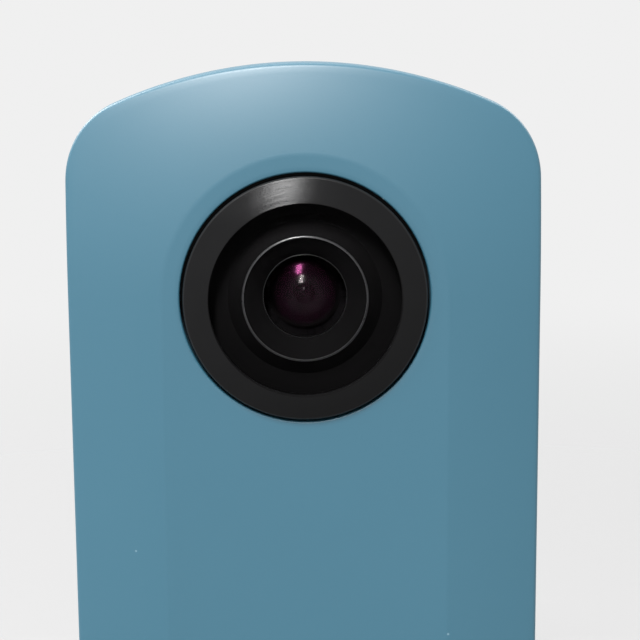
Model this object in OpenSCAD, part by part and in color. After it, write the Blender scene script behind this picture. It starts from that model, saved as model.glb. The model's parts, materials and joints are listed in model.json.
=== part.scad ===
// Pocket 360 degree camera: a slim upright body with a fisheye lens on each face.
// Frame: the base stands on z = 0, +Z is up, the shutter face looks along -Y.
// Lens pieces are drawn by radius and by u, the distance out from the mid plane.

/* [Body] */
// Width across the sides
body_w = 45.2; // [44:0.1:48]
// Height from the base to the top of the arch
body_h = 130.6; // [124:0.1:140]
// Thickness over the two flat faces
body_d = 17.9; // [17.5:0.1:20]
// Wall thickness of the two covers
wall = 1.5; // [1.3:0.05:1.7]
// Radius of the arched top
arch_r = 44.8; // [36:0.2:60]
// Radius of the two top corners
corner_r = 7.9; // [7:0.1:10]
// Radius of the two bottom corners
foot_r = 4; // [2.5:0.25:5]
// Width of the flat band on each face
face_w = 26.7; // [26.4:0.1:29]
// Radius of the shoulders that fall away beside the flat band
shoulder_r = 72; // [60:1:90]
// Slope of the shoulders where they leave the flat band, in degrees
shoulder_slope = 7; // [5:0.5:8]
// Depth of the lip that lines the two covers up
seam_lip = 1; // [0.6:0.1:1.4]
// Clearance between pieces that fit together
clear = 0.05; // [0.03:0.01:0.07]

/* [Lenses] */
// Distance from the top of the body down to the lens axis
lens_drop = 21.8; // [21.4:0.1:24]
// Height of the glass dome above the flat face
lens_rise = 2.5; // [2.2:0.1:3]
// Radius of the glass dome at its edge
dome_r = 9.1; // [8.9:0.05:9.4]
// Height of the dome's cap above its edge
dome_sag = 1.7; // [1.4:0.1:2]
// Thickness of the dome at its edge
dome_edge = 1.75; // [1.5:0.05:1.9]
// Radius of the hollow in the back of the dome
hollow_r = 7.9; // [7.6:0.1:8]
// Depth of the hollow in the back of the dome
hollow_depth = 3; // [2.6:0.1:3.1]
// Reach of the bezel's lip over the edge of the dome
lip_reach = 0.2; // [0.1:0.05:0.3]
// Thickness of the bezel's lip
lip_t = 0.7; // [0.5:0.05:0.9]
// Width of the bezel from its lip to its outer wall
bezel_w = 2.45; // [2.2:0.05:2.7]
// Fall of the bezel's sloping face
bezel_fall = 1.05; // [0.7:0.05:1.2]
// Gap between the bezel and the cover
bezel_gap = 0.3; // [0.2:0.05:0.4]
// Width of the flange that holds the bezel behind the cover
flange_w = 1.6; // [1.2:0.1:2]
// Thickness of that flange
flange_t = 0.5; // [0.4:0.05:0.6]
// Thickness of the rubber gasket under the dome
gasket_t = 0.4; // [0.3:0.05:0.45]
// Radius of the raised rim of the black baffle
rim_r = 5.7; // [5.5:0.05:5.9]
// Radius of the opening in the black baffle
iris_r = 3.9; // [3.7:0.05:4.1]
// Radius of the second lens
second_r = 4.6; // [4.5:0.05:4.7]
// Radius of curvature of the second lens
second_curve = 5.8; // [5.6:0.1:6.6]
// Depth of the second lens below the back of the dome
second_drop = 0.3; // [0.2:0.05:0.5]
// Thickness of the second lens at its edge
second_edge = 0.55; // [0.45:0.05:0.65]

/* [Optical core] */
// Side of the square that the two prisms fill
prism_side = 6; // [5.6:0.1:6.2]
// Width of the optical block
block_w = 16.4; // [15.4:0.2:17]
// Depth of the optical block
block_d = 9.2; // [8.8:0.1:9.4]
// Height of the optical block
block_h = 13.2; // [12.6:0.2:14]
// Radius of the lens barrel's spigot in the block
spigot_r = 5.2; // [5.1:0.05:5.4]
// Radius of the barrel of each relay lens
relay_r = 2.8; // [2.6:0.05:2.9]
// Radius of each relay lens
relay_lens_r = 2.1; // [1.9:0.05:2.2]
// Side of the square image sensor
sensor_side = 8; // [7:0.2:8.6]
// Thickness of the image sensor
sensor_t = 0.9; // [0.7:0.1:1.1]
// Height of the sensor board
sensor_board_h = 12.4; // [11:0.2:13]
// Reach of the block's ears beyond the block
ear_reach = 5; // [4.6:0.2:5.4]

/* [Boards and battery] */
// Thickness of the chassis plate
chassis_t = 1.4; // [1.2:0.1:1.5]
// Thickness of the circuit boards
board_t = 0.8; // [0.6:0.1:0.9]
// Distance from the main board's edge to the side of the body
board_margin = 7.8; // [7.6:0.1:8.2]
// Gap between the main board and the chassis
board_gap = 0.5; // [0.4:0.05:0.6]
// Distance from the battery's edge to the side of the body
battery_margin = 8.2; // [7.6:0.1:9.6]
// Distance from the lens axis down to the battery's upper end
battery_drop = 24.2; // [23.6:0.2:30]
// Thickness of the battery
battery_t = 5.2; // [4.4:0.1:6]
// Height of the battery's lower end above the base
battery_z = 34; // [33:0.5:35]
// Height of the shield can above the main board
shield_h = 1.7; // [1.5:0.1:2]

/* [Buttons and lamps] */
// Distance from the lens axis down to the shutter button
shutter_drop = 46.2; // [45:0.2:47.4]
// Radius of the shutter button
shutter_r = 6; // [5.6:0.1:6.4]
// Travel of the shutter button
shutter_travel = 0.6; // [0.4:0.05:0.7]
// Height of the shutter button above the flat face
shutter_rise = 0.25; // [0.1:0.05:0.4]
// Width of the trim ring round the shutter button
ring_w = 1.15; // [1:0.05:1.4]
// Height of the middle side button above the base
keys_z = 58; // [54:0.5:62]
// Distance from one side button to the next
key_pitch = 10; // [9.5:0.25:10.5]
// Length of each side button
key_l = 7; // [6:0.25:7.5]
// Width of each side button
key_w = 2.6; // [2.2:0.1:3]
// Height of the side buttons above the side wall
key_rise = 0.3; // [0.2:0.05:0.4]
// Travel of the side buttons
key_travel = 0.4; // [0.3:0.05:0.45]
// Distance from the shutter button down to the top lamp
lamp_drop = 12.6; // [11.6:0.2:13]
// Distance from one lamp to the next
lamp_pitch = 3.4; // [3:0.1:3.6]
// Radius of each lamp
lamp_r = 0.6; // [0.5:0.05:0.7]

/* [Base] */
// Length of the base panel
panel_l = 34.8; // [34.2:0.2:35]
// Depth of the base panel
panel_d = 10.4; // [10:0.2:11]
// Radius of the base panel's corners
panel_r = 2.5; // [2:0.25:2.75]
// Bore radius of the tripod socket, for a quarter inch screw
tripod_r = 3.2; // [3.15:0.01:3.25]
// Depth of the tripod socket
tripod_depth = 6.5; // [5.5:0.1:7]
// Outer radius of the tripod bush
bush_r = 4; // [3.8:0.05:4.2]
// Flange radius of the tripod bush
bush_flange_r = 4.9; // [4.7:0.05:5]
// Sideways place of the data socket
data_x = -11.2; // [-11.4:0.1:-11]
// Width of the data socket's shell
data_w = 7.4; // [7.2:0.05:7.5]
// Height of the data socket's shell
data_h = 2.65; // [2.5:0.05:2.7]
// Sideways place of the video socket
video_x = 9.6; // [9.4:0.1:9.8]
// Width of the video socket's shell
video_w = 6.6; // [6.4:0.05:6.8]
// Height of the video socket's shell
video_h = 2.8; // [2.6:0.05:2.9]
// Radius of the strap bar
strap_bar_r = 0.55; // [0.45:0.05:0.6]

/* [Fasteners] */
// Shank radius of the small screws
screw_r = 0.65; // [0.6:0.01:0.7]
// Head radius of the small screws
screw_head_r = 1.3; // [1.2:0.05:1.4]
// Head height of the small screws
screw_head_h = 0.8; // [0.7:0.05:0.9]

/* [Hidden] */
$fn = 96;

// Colours of the finishes
paint_blue = [0.35, 0.53, 0.61];
soft_black = [0.09, 0.09, 0.10];
anodised_grey = [0.22, 0.22, 0.23];
clear_glass = [0.80, 0.86, 0.92, 0.45];
dark_frame = [0.18, 0.19, 0.20];
board_green = [0.08, 0.30, 0.18];
flex_amber = [0.72, 0.48, 0.16];
bare_metal = [0.76, 0.77, 0.78];
brass_metal = [0.78, 0.64, 0.36];
cell_silver = [0.62, 0.66, 0.70];
lamp_white = [0.92, 0.94, 0.95];

// Body outline and faces
half_w = body_w / 2;
face_u = body_d / 2;
inner_u = face_u - wall;
inner_w = half_w - wall;
arch_z = body_h - arch_r;
corner_x = half_w - corner_r;
corner_z = arch_z + sqrt(pow(arch_r - corner_r, 2) - pow(corner_x, 2));
lens_z = body_h - lens_drop;
face_r = face_w / 2;
shoulder_end = half_w + corner_r;
lip_wall = wall / 2;
past = 1;

// Dome, bezel and gasket, outward from the mid plane
apex_u = face_u + lens_rise;
cap_curve = (pow(dome_r, 2) + pow(dome_sag, 2)) / (2 * dome_sag);
hollow_curve = (pow(hollow_r, 2) + pow(hollow_depth, 2)) / (2 * hollow_depth);
dome_back_u = apex_u - dome_sag - dome_edge;
lip_r = dome_r - lip_reach;
lip_under_u = apex_u - cap_curve + sqrt(pow(cap_curve, 2) - pow(lip_r, 2)) + clear;
lip_top_u = lip_under_u + lip_t;
bezel_r = lip_r + bezel_w;
bezel_bore = dome_r + 2 * clear;
lip_chamfer = 0.15;
rim_chamfer = 0.25;
rim_u = lip_top_u - bezel_fall;
flange_r = bezel_r + flange_w;
flange_top_u = inner_u - clear;
flange_base_u = flange_top_u - flange_t;
lens_hole_r = bezel_r + bezel_gap;

// Second lens, baffle and barrel
baffle_step = 1.1;
baffle_r = dome_r - baffle_step;
baffle_edge = 0.5;
baffle_rim = 0.25;
baffle_ledge = 0.7;
baffle_foot = 1;
baffle_gap = 0.15;
hollow_top_u = dome_back_u + hollow_depth;
baffle_rim_r = rim_r + baffle_rim;
baffle_rim_u = hollow_top_u - hollow_curve + sqrt(pow(hollow_curve, 2) - pow(baffle_rim_r, 2)) - baffle_gap;
iris_t = 1;
second_apex_u = dome_back_u - second_drop;
iris_base_u = second_apex_u - second_curve + sqrt(pow(second_curve, 2) - pow(iris_r, 2)) + 2 * clear;
iris_top_u = iris_base_u + iris_t;
second_sag = second_curve - sqrt(pow(second_curve, 2) - pow(second_r, 2));
second_back_u = second_apex_u - second_sag - second_edge;
barrel_rim_u = dome_back_u - gasket_t;
barrel_flange_inset = 0.6;
barrel_flange_r = flange_r - barrel_flange_inset;
barrel_flange_t = 0.7;
barrel_wall = 1;
barrel_r = spigot_r + barrel_wall;
block_u = block_d / 2;
prism_half = prism_side / 2;
prism_over = 0.4;
prism_h = prism_side + prism_over;
cavity = prism_half + 2 * clear;
cavity_h = prism_h + 4 * clear;
spigot_end_u = cavity + 4 * clear;
exit_step = 1.2;
exit_r = second_r - exit_step;

// Sensors beside the block
relay_x0 = cavity + 2 * clear;
relay_x1 = block_w / 2 - 2 * clear;
relay_lens_x = (relay_x0 + relay_x1) / 2;
relay_curve = 6;
relay_lens_t = 1.8;
sensor_x = block_w / 2 + 2 * clear;
sensor_board_x = sensor_x + sensor_t;
sensor_board_over = 1.6;
sensor_board_d = block_d + sensor_board_over;
flex_x = sensor_board_x + board_t;
flex_t = 0.15;
flex_w = 3;
flex_plug_w = 2;
flex_plug_l = 3.5;
flex_plug_h = 1.2;
flex_plug_drop = 2;
flex_tail = flex_plug_drop + flex_plug_l;

// Chassis, main board and what stands on them
chassis_y0 = -0.9;
chassis_y1 = chassis_y0 + chassis_t;
chassis_gap = 0.3;
chassis_z0 = 10;
window_side = 1;
window_end = 2.4;
window_w = 2 * (flex_x + flex_t + window_side);
window_h = block_h + 2 * window_end;
ear_w = 9;
ear_t = 1.4;
ear_screw_z = (window_h / 2 + block_h / 2 + ear_reach) / 2;
board_y1 = chassis_y0 - board_gap;
board_y0 = board_y1 - board_t;
board_z0 = 3.2;
board_w = body_w - 2 * board_margin;
board_drop = 15;
board_z1 = lens_z - board_drop;
board_notch_w = 16.2;
board_notch_z = 12.2;
board_screw_inset = 2;
board_screw_low = 22;
board_screw_drop = 13;
board_screw_x = board_w / 2 - board_screw_inset;
board_screws_z = [board_screw_low, board_z1 - board_screw_drop];
standoff_r = 1.8;
chassis_screw_inset = 5.1;
chassis_screw_low = 30;
chassis_screw_drop = 17;
chassis_screw_x = half_w - chassis_screw_inset;
chassis_screws_z = [chassis_screw_low, lens_z - chassis_screw_drop];
post_r = 2;
post_foot_u = inner_u + wall / 3;
screw_hole_r = screw_r + clear;
screw_play = 0.25;
slot_w = 0.35;
screw_pass_r = screw_r + screw_play;
chassis_screw_l = 6.4;
panel_screw_l = 5.5;
shield_w = 19;
shield_rise = 7.4;
shield_drop = 5.2;
shield_wall = 0.3;
shutter_z = lens_z - shutter_drop;
shield_z0 = shutter_z + shield_rise;
shield_l = board_z1 - shield_drop - shield_z0;
chip_side = 10;
chip_t = 1.1;
led_w = 1.6;
led_l = 0.8;
led_t = 0.6;
lead_w = 5;
lead_t = 0.2;
lead_rise = 4;
lead_gap = 0.3;
battery_w = body_w - 2 * battery_margin;
battery_h = lens_z - battery_drop - battery_z;
lead_z = battery_z + battery_h + lead_rise;
small_chip_t = 1;
small_chips = [[-9, 28, 8, 10], [1, 29, 6, 6], [9, 27, 4, 4], [-10, 15, 5, 5], [9, 36, 3, 5]];

// Shutter button
shutter_gap = 0.15;
ring_in = shutter_r + shutter_gap;
ring_out = ring_in + ring_w;
shutter_flange_w = 0.7;
shutter_flange_drop = 0.8;
shutter_flange_t = 0.6;
shutter_flange_r = ring_in + shutter_flange_w;
shutter_flange_u = flange_top_u - shutter_flange_drop;
ring_flange_w = 0.8;
ring_flange_t = 0.5;
ring_rise = 0.12;
shutter_dish = 0.3;
shutter_dish_curve = 46;
plunger_r = 1.2;
switch_side = 5;
switch_h = 1.4;
switch_nub_r = 1.3;
switch_nub_h = 0.7;
switch_top_u = -board_y0 + switch_h + switch_nub_h;
plunger_u = switch_top_u + shutter_travel + clear;

// Side buttons and their board
key_gap = 0.15;
key_flange = 0.6;
key_flange_t = 0.8;
key_flange_gap = 0.2;
key_flange_x = inner_w - key_flange_gap;
key_nub_l = 0.4;
key_nub_x = key_flange_x - key_flange_t - key_nub_l;
key_nub_r = 0.8;
key_switch_t = 1.2;
key_switch_l = 4;
key_switch_w = 3;
key_board_x1 = key_nub_x - key_travel - clear - key_switch_t;
key_board_x0 = key_board_x1 - board_t;
key_board_w = 5.2;
key_board_end = 2.5;
key_board_l = 2 * key_pitch + key_l + 2 * key_board_end;
keys = [keys_z + key_pitch, keys_z, keys_z - key_pitch];

// Lamps
lamp_count = 3;
lamp_z = shutter_z - lamp_drop;
lamps = [for (i = [0:lamp_count - 1]) lamp_z - i * lamp_pitch];
guide_w = 3;
guide_t = 1.1;
guide_end = 1.5;
guide_u = flange_top_u - guide_t;

// Base panel and sockets
panel_flange = 0.9;
panel_flange_t = 1;
panel_top = wall + panel_flange_t;
bush_flange_t = 0.9;
bush_end = 2;
bush_top = tripod_depth + bush_end;
boss_wall = 2;
boss_r = bush_r + boss_wall;
boss_z0 = panel_top + 2 * clear;
boss_z1 = bush_top + boss_wall;
panel_screw_at = [6, 3.4];
lug_r = 1.8;
lug_h = 6;
panel_sink_gap = 0.1;
panel_sink = screw_head_h + panel_sink_gap;
socket_z0 = 0.4;
socket_z1 = 5.6;
socket_wall = 0.3;
socket_back = 0.8;
socket_gap = 0.2;
socket_cut = 0.55;
tongue_t = 0.6;
tongue_gap = 0.6;
strap_x0 = 14.3;
strap_x1 = 16.5;
strap_w = 4.4;
strap_depth = 4.2;
strap_wall = 0.8;
strap_bar_z = 1.1;
strap_seat = 0.6;

// Sound pieces and aerial
mic_w = 3.8;
mic_d = 2;
mic_h = 3;
mic_boot_h = 1.4;
mic_hole_r = 0.5;
mic_y = chassis_y1 + mic_d / 2;
mic_boot_z1 = arch_z + sqrt(pow(arch_r - wall, 2) - pow(mic_w / 2, 2)) - clear;
speaker_l = 14;
speaker_w = 9;
speaker_t = 3;
speaker_z = 12;
speaker_gap = 0.2;
speaker_x0 = -(inner_w - chassis_gap - speaker_gap);
sound_hole_r = 0.45;
sound_holes = 4;
sound_pitch = 2;
sound_rise = 4;
sound_y = chassis_y1 + speaker_t / 2;
sound_z = speaker_z + sound_rise;
aerial_t = 0.25;
aerial_w = 4;
aerial_l = 40;
aerial_z = 36;
aerial_gap = 0.5;

// Front-view outline, drawn in by an inset all round
module outline(inset = 0) {
    w = half_w - inset;
    foot_x = half_w - foot_r;
    reach = 2 * arch_r;
    translate([-w, foot_r])
        square([2 * w, corner_z - foot_r]);
    translate([-foot_x, inset])
        square([2 * foot_x, foot_r - inset]);
    for (side = [-1, 1]) {
        translate([side * foot_x, foot_r])
            quarter(foot_r - inset, side, -1);
        translate([side * corner_x, corner_z])
            quarter(corner_r - inset, side, 1);
    }
    intersection() {
        translate([0, arch_z])
            circle(arch_r - inset);
        polygon([
            [-corner_x, corner_z],
            [-corner_x * reach, corner_z + (corner_z - arch_z) * (reach - 1)],
            [corner_x * reach, corner_z + (corner_z - arch_z) * (reach - 1)],
            [corner_x, corner_z],
        ]);
    }
}

// Quarter of a disc, towards the given sides of its centre
module quarter(r, x_side, y_side) {
    intersection() {
        circle(r);
        translate([x_side > 0 ? 0 : -r, y_side > 0 ? 0 : -r])
            square(r);
    }
}

// Carries a front-view drawing through the depth, from y0 to y1
module through(y0, y1) {
    translate([0, y1, 0])
        rotate([90, 0, 0])
            linear_extrude(y1 - y0)
                children();
}

// Stands a drawing on the lens axis, its height pointing out of the face
module on_axis() {
    translate([0, 0, lens_z])
        rotate([90, 0, 0])
            children();
}

// Turns front pieces round to the rear
module to_rear() {
    rotate([0, 0, 180])
        children();
}

// Box between two corners
module box(low, high) {
    translate(low)
        cube(high - low);
}

// Rectangle with round corners, centred
module round_rect(w, d, r) {
    square([w - 2 * r, d], center = true);
    square([w, d - 2 * r], center = true);
    for (x = [-1, 1], y = [-1, 1])
        translate([x * (w / 2 - r), y * (d / 2 - r)])
            quarter(r, x, y);
}

// Slot with round ends along the second axis, centred
module pill(w, l) {
    square([w, l - w], center = true);
    for (side = [-1, 1])
        translate([0, side * (l - w) / 2])
            circle(w / 2);
}

// Half section of a face: flat band, then the falling shoulder
module face_section(u) {
    square([face_r, u]);
    intersection() {
        translate([face_r, 0])
            square([shoulder_end - face_r, u]);
        translate([face_r - shoulder_r * sin(shoulder_slope), u - shoulder_r * cos(shoulder_slope)])
            circle(shoulder_r);
    }
}

// Front half of the body's form: the section runs up the band and turns round the lens
module half_form(inset) {
    intersection() {
        through(-face_u, 0)
            outline(inset);
        union() {
            linear_extrude(lens_z)
                mirror([0, 1])
                    for (side = [0, 1])
                        mirror([side, 0])
                            face_section(face_u - inset);
            on_axis()
                rotate_extrude(angle = 180)
                    face_section(face_u - inset);
        }
    }
}

// Slots in the side wall for the three side buttons
module key_slots() {
    for (z = keys)
        translate([inner_w - past, 0, z])
            rotate([90, 0, 90])
                linear_extrude(wall + 2 * past)
                    pill(key_w + 2 * key_gap, key_l + 2 * key_gap);
}

// Opening in the foot of the covers for the base panel
module panel_opening() {
    translate([0, 0, -past])
        linear_extrude(wall + 2 * past)
            round_rect(panel_l + 4 * clear, panel_d + 4 * clear, panel_r);
}

// Covers
module front_cover() {
    color(paint_blue)
        difference() {
            union() {
                difference() {
                    half_form(0);
                    half_form(wall);
                }
                through(0, seam_lip)
                    difference() {
                        outline(lip_wall + clear);
                        outline(wall);
                    }
            }
            on_axis()
                cylinder(r = lens_hole_r, h = face_u + past);
            translate([0, 0, shutter_z])
                rotate([90, 0, 0])
                    cylinder(r = ring_out + clear, h = face_u + past);
            for (z = lamps)
                translate([0, 0, z])
                    rotate([90, 0, 0])
                        cylinder(r = lamp_r + 2 * clear, h = face_u + past);
            key_slots();
            panel_opening();
        }
}

module rear_cover() {
    color(paint_blue)
        difference() {
            union() {
                difference() {
                    to_rear() half_form(0);
                    to_rear() half_form(wall);
                    through(-past, seam_lip + clear)
                        outline(lip_wall);
                }
                for (x = [-1, 1], z = chassis_screws_z)
                    translate([x * chassis_screw_x, chassis_y1, z])
                        rotate([-90, 0, 0])
                            cylinder(r = post_r, h = post_foot_u - chassis_y1);
            }
            for (x = [-1, 1], z = chassis_screws_z)
                translate([x * chassis_screw_x, chassis_y1 - past, z])
                    rotate([-90, 0, 0])
                        cylinder(r = screw_hole_r, h = chassis_screw_l);
            to_rear()
                on_axis()
                    cylinder(r = lens_hole_r, h = face_u + past);
            translate([0, mic_y, mic_boot_z1 - past])
                cylinder(r = mic_hole_r, h = body_h);
            for (i = [0:sound_holes - 1])
                translate([-half_w - past, sound_y, sound_z + i * sound_pitch])
                    rotate([0, 90, 0])
                        cylinder(r = sound_hole_r, h = wall + 2 * past);
            key_slots();
            panel_opening();
        }
}

// Window in the base panel for a socket
module socket_window(x, w, h) {
    box(
        [x - w / 2 - socket_gap, board_y1 - socket_gap, -past],
        [x + w / 2 + socket_gap, board_y1 + h + socket_gap, panel_top + past]
    );
}

module bottom_panel() {
    color(soft_black)
        difference() {
            union() {
                linear_extrude(wall)
                    round_rect(panel_l, panel_d, panel_r);
                translate([0, 0, wall])
                    linear_extrude(panel_flange_t)
                        round_rect(
                            panel_l + 2 * panel_flange,
                            panel_d + 2 * panel_flange,
                            panel_r + panel_flange
                        );
                box(
                    [strap_x0 - strap_wall, -strap_w / 2 - strap_wall, wall],
                    [strap_x1 + strap_wall, strap_w / 2 + strap_wall, strap_depth + strap_wall]
                );
            }
            translate([0, 0, -past])
                cylinder(r = bush_flange_r + 2 * clear, h = panel_top + 2 * past);
            socket_window(data_x, data_w, data_h);
            socket_window(video_x, video_w, video_h);
            box([strap_x0, -strap_w / 2, -past], [strap_x1, strap_w / 2, strap_depth]);
            translate([strap_x0 - strap_seat, 0, strap_bar_z])
                rotate([0, 90, 0])
                    cylinder(r = strap_bar_r + clear, h = strap_x1 - strap_x0 + 2 * strap_seat);
            panel_screw_places() {
                translate([0, 0, -past])
                    cylinder(r = screw_pass_r, h = panel_top + 2 * past);
                translate([0, 0, -past])
                    cylinder(r = screw_head_r + 2 * clear, h = panel_sink + past);
            }
        }
}

// The two places of the base panel's screws
module panel_screw_places() {
    for (turn = [0, 180])
        rotate([0, 0, turn])
            translate([-panel_screw_at[0], panel_screw_at[1], 0])
                children();
}

// Plate between the main board and the battery, with the tripod boss at its foot
module chassis() {
    color(dark_frame)
        difference() {
            union() {
                through(chassis_y0, chassis_y1)
                    intersection() {
                        outline(wall + chassis_gap);
                        translate([-half_w, chassis_z0])
                            square([body_w, body_h]);
                    }
                translate([0, 0, boss_z0])
                    cylinder(r = boss_r, h = boss_z1 - boss_z0);
                panel_screw_places()
                    translate([0, 0, boss_z0])
                        cylinder(r = lug_r, h = lug_h);
                for (x = [-1, 1], z = board_screws_z)
                    translate([x * board_screw_x, chassis_y0, z])
                        rotate([90, 0, 0])
                            cylinder(r = standoff_r, h = board_gap);
            }
            box(
                [-window_w / 2, chassis_y0 - past, lens_z - window_h / 2],
                [window_w / 2, chassis_y1 + past, lens_z + window_h / 2]
            );
            box(
                [key_board_x0, chassis_y0 - past, keys_z - key_board_l / 2 - chassis_gap],
                [half_w, chassis_y1 + past, keys_z + key_board_l / 2 + chassis_gap]
            );
            box(
                [-lead_w / 2 - chassis_gap, chassis_y0 - past, lead_z - chassis_gap],
                [lead_w / 2 + chassis_gap, chassis_y1 + past, lead_z + lead_t + chassis_gap]
            );
            translate([0, 0, boss_z0 - past])
                cylinder(r = bush_r + clear, h = bush_top - boss_z0 + past);
            panel_screw_places()
                translate([0, 0, boss_z0 - past])
                    cylinder(r = screw_hole_r, h = panel_screw_l + past);
            for (x = [-1, 1], z = board_screws_z)
                translate([x * board_screw_x, chassis_y1 + past, z])
                    rotate([90, 0, 0])
                        cylinder(r = screw_hole_r, h = chassis_t + board_gap + 2 * past);
            for (x = [-1, 1], z = chassis_screws_z)
                translate([x * chassis_screw_x, chassis_y1 + past, z])
                    rotate([90, 0, 0])
                        cylinder(r = screw_pass_r, h = chassis_t + 2 * past);
            for (side = [-1, 1])
                translate([0, chassis_y1 + past, lens_z + side * ear_screw_z])
                    rotate([90, 0, 0])
                        cylinder(r = screw_hole_r, h = chassis_t + 2 * past);
        }
}

// Lens unit, outermost piece first
module lens_bezel() {
    color(anodised_grey)
        on_axis()
            rotate_extrude()
                polygon([
                    [bezel_bore, flange_base_u],
                    [bezel_bore, lip_under_u],
                    [lip_r, lip_under_u],
                    [lip_r, lip_top_u - lip_chamfer],
                    [lip_r + lip_chamfer, lip_top_u],
                    [bezel_r - rim_chamfer, rim_u],
                    [bezel_r, rim_u - rim_chamfer],
                    [bezel_r, flange_top_u],
                    [flange_r, flange_top_u],
                    [flange_r, flange_base_u],
                ]);
}

module lens_dome() {
    color(clear_glass)
        on_axis()
            difference() {
                intersection() {
                    translate([0, 0, apex_u - cap_curve])
                        sphere(cap_curve);
                    translate([0, 0, dome_back_u])
                        cylinder(r = dome_r, h = dome_edge + dome_sag + past);
                }
                translate([0, 0, hollow_top_u - hollow_curve])
                    sphere(hollow_curve);
            }
}

module lens_gasket() {
    color(soft_black)
        on_axis()
            translate([0, 0, barrel_rim_u])
                difference() {
                    cylinder(r = dome_r, h = gasket_t);
                    translate([0, 0, -past])
                        cylinder(r = baffle_r + 2 * clear, h = gasket_t + 2 * past);
                }
}

module lens_baffle() {
    color(soft_black)
        on_axis()
            rotate_extrude()
                polygon([
                    [baffle_r, dome_back_u],
                    [hollow_r - baffle_ledge, dome_back_u],
                    [baffle_rim_r, baffle_rim_u],
                    [rim_r, baffle_rim_u],
                    [rim_r - baffle_rim, baffle_rim_u - baffle_rim],
                    [iris_r, iris_top_u],
                    [iris_r, iris_base_u],
                    [iris_r + baffle_foot, iris_base_u],
                    [baffle_r, dome_back_u - baffle_edge],
                ]);
}

module second_lens() {
    color(clear_glass)
        on_axis()
            intersection() {
                translate([0, 0, second_apex_u - second_curve])
                    sphere(second_curve);
                translate([0, 0, second_back_u])
                    cylinder(r = second_r, h = second_sag + second_edge + past);
            }
}

module lens_barrel() {
    color(soft_black)
        on_axis()
            rotate_extrude()
                polygon([
                    [baffle_r + clear, barrel_rim_u],
                    [dome_r, barrel_rim_u],
                    [dome_r, flange_base_u],
                    [barrel_flange_r, flange_base_u],
                    [barrel_flange_r, flange_base_u - barrel_flange_t],
                    [barrel_r, flange_base_u - barrel_flange_t],
                    [barrel_r, block_u],
                    [spigot_r, block_u],
                    [spigot_r, spigot_end_u],
                    [exit_r, spigot_end_u],
                    [exit_r, second_back_u],
                    [second_r + clear, second_back_u],
                    [second_r + clear, iris_base_u - 2 * clear],
                    [iris_r + baffle_foot, iris_base_u - 2 * clear],
                    [baffle_r + clear, dome_back_u - baffle_edge - 2 * clear],
                ]);
}

// Block that carries both lens barrels, the prisms and the sensors
module optical_block() {
    color(dark_frame)
        translate([0, 0, lens_z])
            difference() {
                union() {
                    box([-block_w / 2, -block_u, -block_h / 2], [block_w / 2, block_u, block_h / 2]);
                    box(
                        [-ear_w / 2, chassis_y1, -block_h / 2 - ear_reach],
                        [ear_w / 2, chassis_y1 + ear_t, block_h / 2 + ear_reach]
                    );
                }
                box([-cavity, -cavity, -cavity_h / 2], [cavity, cavity, cavity_h / 2]);
                for (turn = [0, 180])
                    rotate([0, 0, turn]) {
                        translate([0, -cavity - clear, 0])
                            rotate([90, 0, 0])
                                cylinder(r = spigot_r + 2 * clear, h = block_u);
                        translate([0, -cavity + past, 0])
                            rotate([90, 0, 0])
                                cylinder(r = exit_r, h = block_u);
                        translate([cavity - past, 0, 0])
                            rotate([0, 90, 0])
                                cylinder(r = relay_r + clear, h = block_w / 2);
                    }
                for (side = [-1, 1])
                    translate([0, chassis_y1 - past, side * ear_screw_z])
                        rotate([-90, 0, 0])
                            cylinder(r = screw_pass_r, h = ear_t + 2 * past);
            }
}

// Right-angle prism that turns the front lens's light towards +X
module prism() {
    color(clear_glass)
        translate([0, 0, lens_z - prism_h / 2])
            linear_extrude(prism_h)
                polygon([
                    [-prism_half + 2 * clear, -prism_half],
                    [prism_half, -prism_half],
                    [prism_half, prism_half - 2 * clear],
                ]);
}

// Relay lens, sensor and flex on the +X side of the block
module relay_barrel() {
    color(soft_black)
        translate([relay_x0, 0, lens_z])
            rotate([0, 90, 0])
                difference() {
                    cylinder(r = relay_r, h = relay_x1 - relay_x0);
                    translate([0, 0, -past])
                        cylinder(r = relay_lens_r + clear, h = relay_x1 - relay_x0 + 2 * past);
                }
}

module relay_lens() {
    color(clear_glass)
        translate([relay_lens_x, 0, lens_z])
            rotate([0, 90, 0])
                intersection() {
                    cylinder(r = relay_lens_r, h = relay_lens_t, center = true);
                    for (side = [-1, 1])
                        translate([0, 0, side * (relay_curve - relay_lens_t / 2)])
                            sphere(relay_curve);
                }
}

module image_sensor() {
    color(dark_frame)
        box(
            [sensor_x, -sensor_side / 2, lens_z - sensor_side / 2],
            [sensor_board_x, sensor_side / 2, lens_z + sensor_side / 2]
        );
}

module sensor_board() {
    color(board_green)
        box(
            [sensor_board_x, -sensor_board_d / 2, lens_z - sensor_board_h / 2],
            [flex_x, sensor_board_d / 2, lens_z + sensor_board_h / 2]
        );
}

// Flat flex that runs from a sensor board down to the main board, on the given side
module sensor_flex(side) {
    low = side > 0 ? flex_x : -flex_x - flex_t;
    color(flex_amber)
        box(
            [low, board_y0 - 3 * clear - flex_w, board_z1 - flex_tail],
            [low + flex_t, board_y0 - 3 * clear, lens_z + sensor_board_h / 2 - past]
        );
}

// Main board and the pieces that stand on it
module main_board() {
    color(board_green)
        difference() {
            box([-board_w / 2, board_y0, board_z0], [board_w / 2, board_y1, board_z1]);
            box(
                [-board_notch_w / 2, board_y0 - past, board_z0 - past],
                [board_notch_w / 2, board_y1 + past, board_notch_z]
            );
            box(
                [strap_x0 - strap_wall - board_gap, board_y0 - past, board_z0 - past],
                [board_w / 2 + past, board_y1 + past, strap_depth + strap_wall + board_gap]
            );
            for (x = [-1, 1], z = board_screws_z)
                translate([x * board_screw_x, board_y1 + past, z])
                    rotate([90, 0, 0])
                        cylinder(r = screw_pass_r, h = board_t + 2 * past);
        }
}

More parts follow.
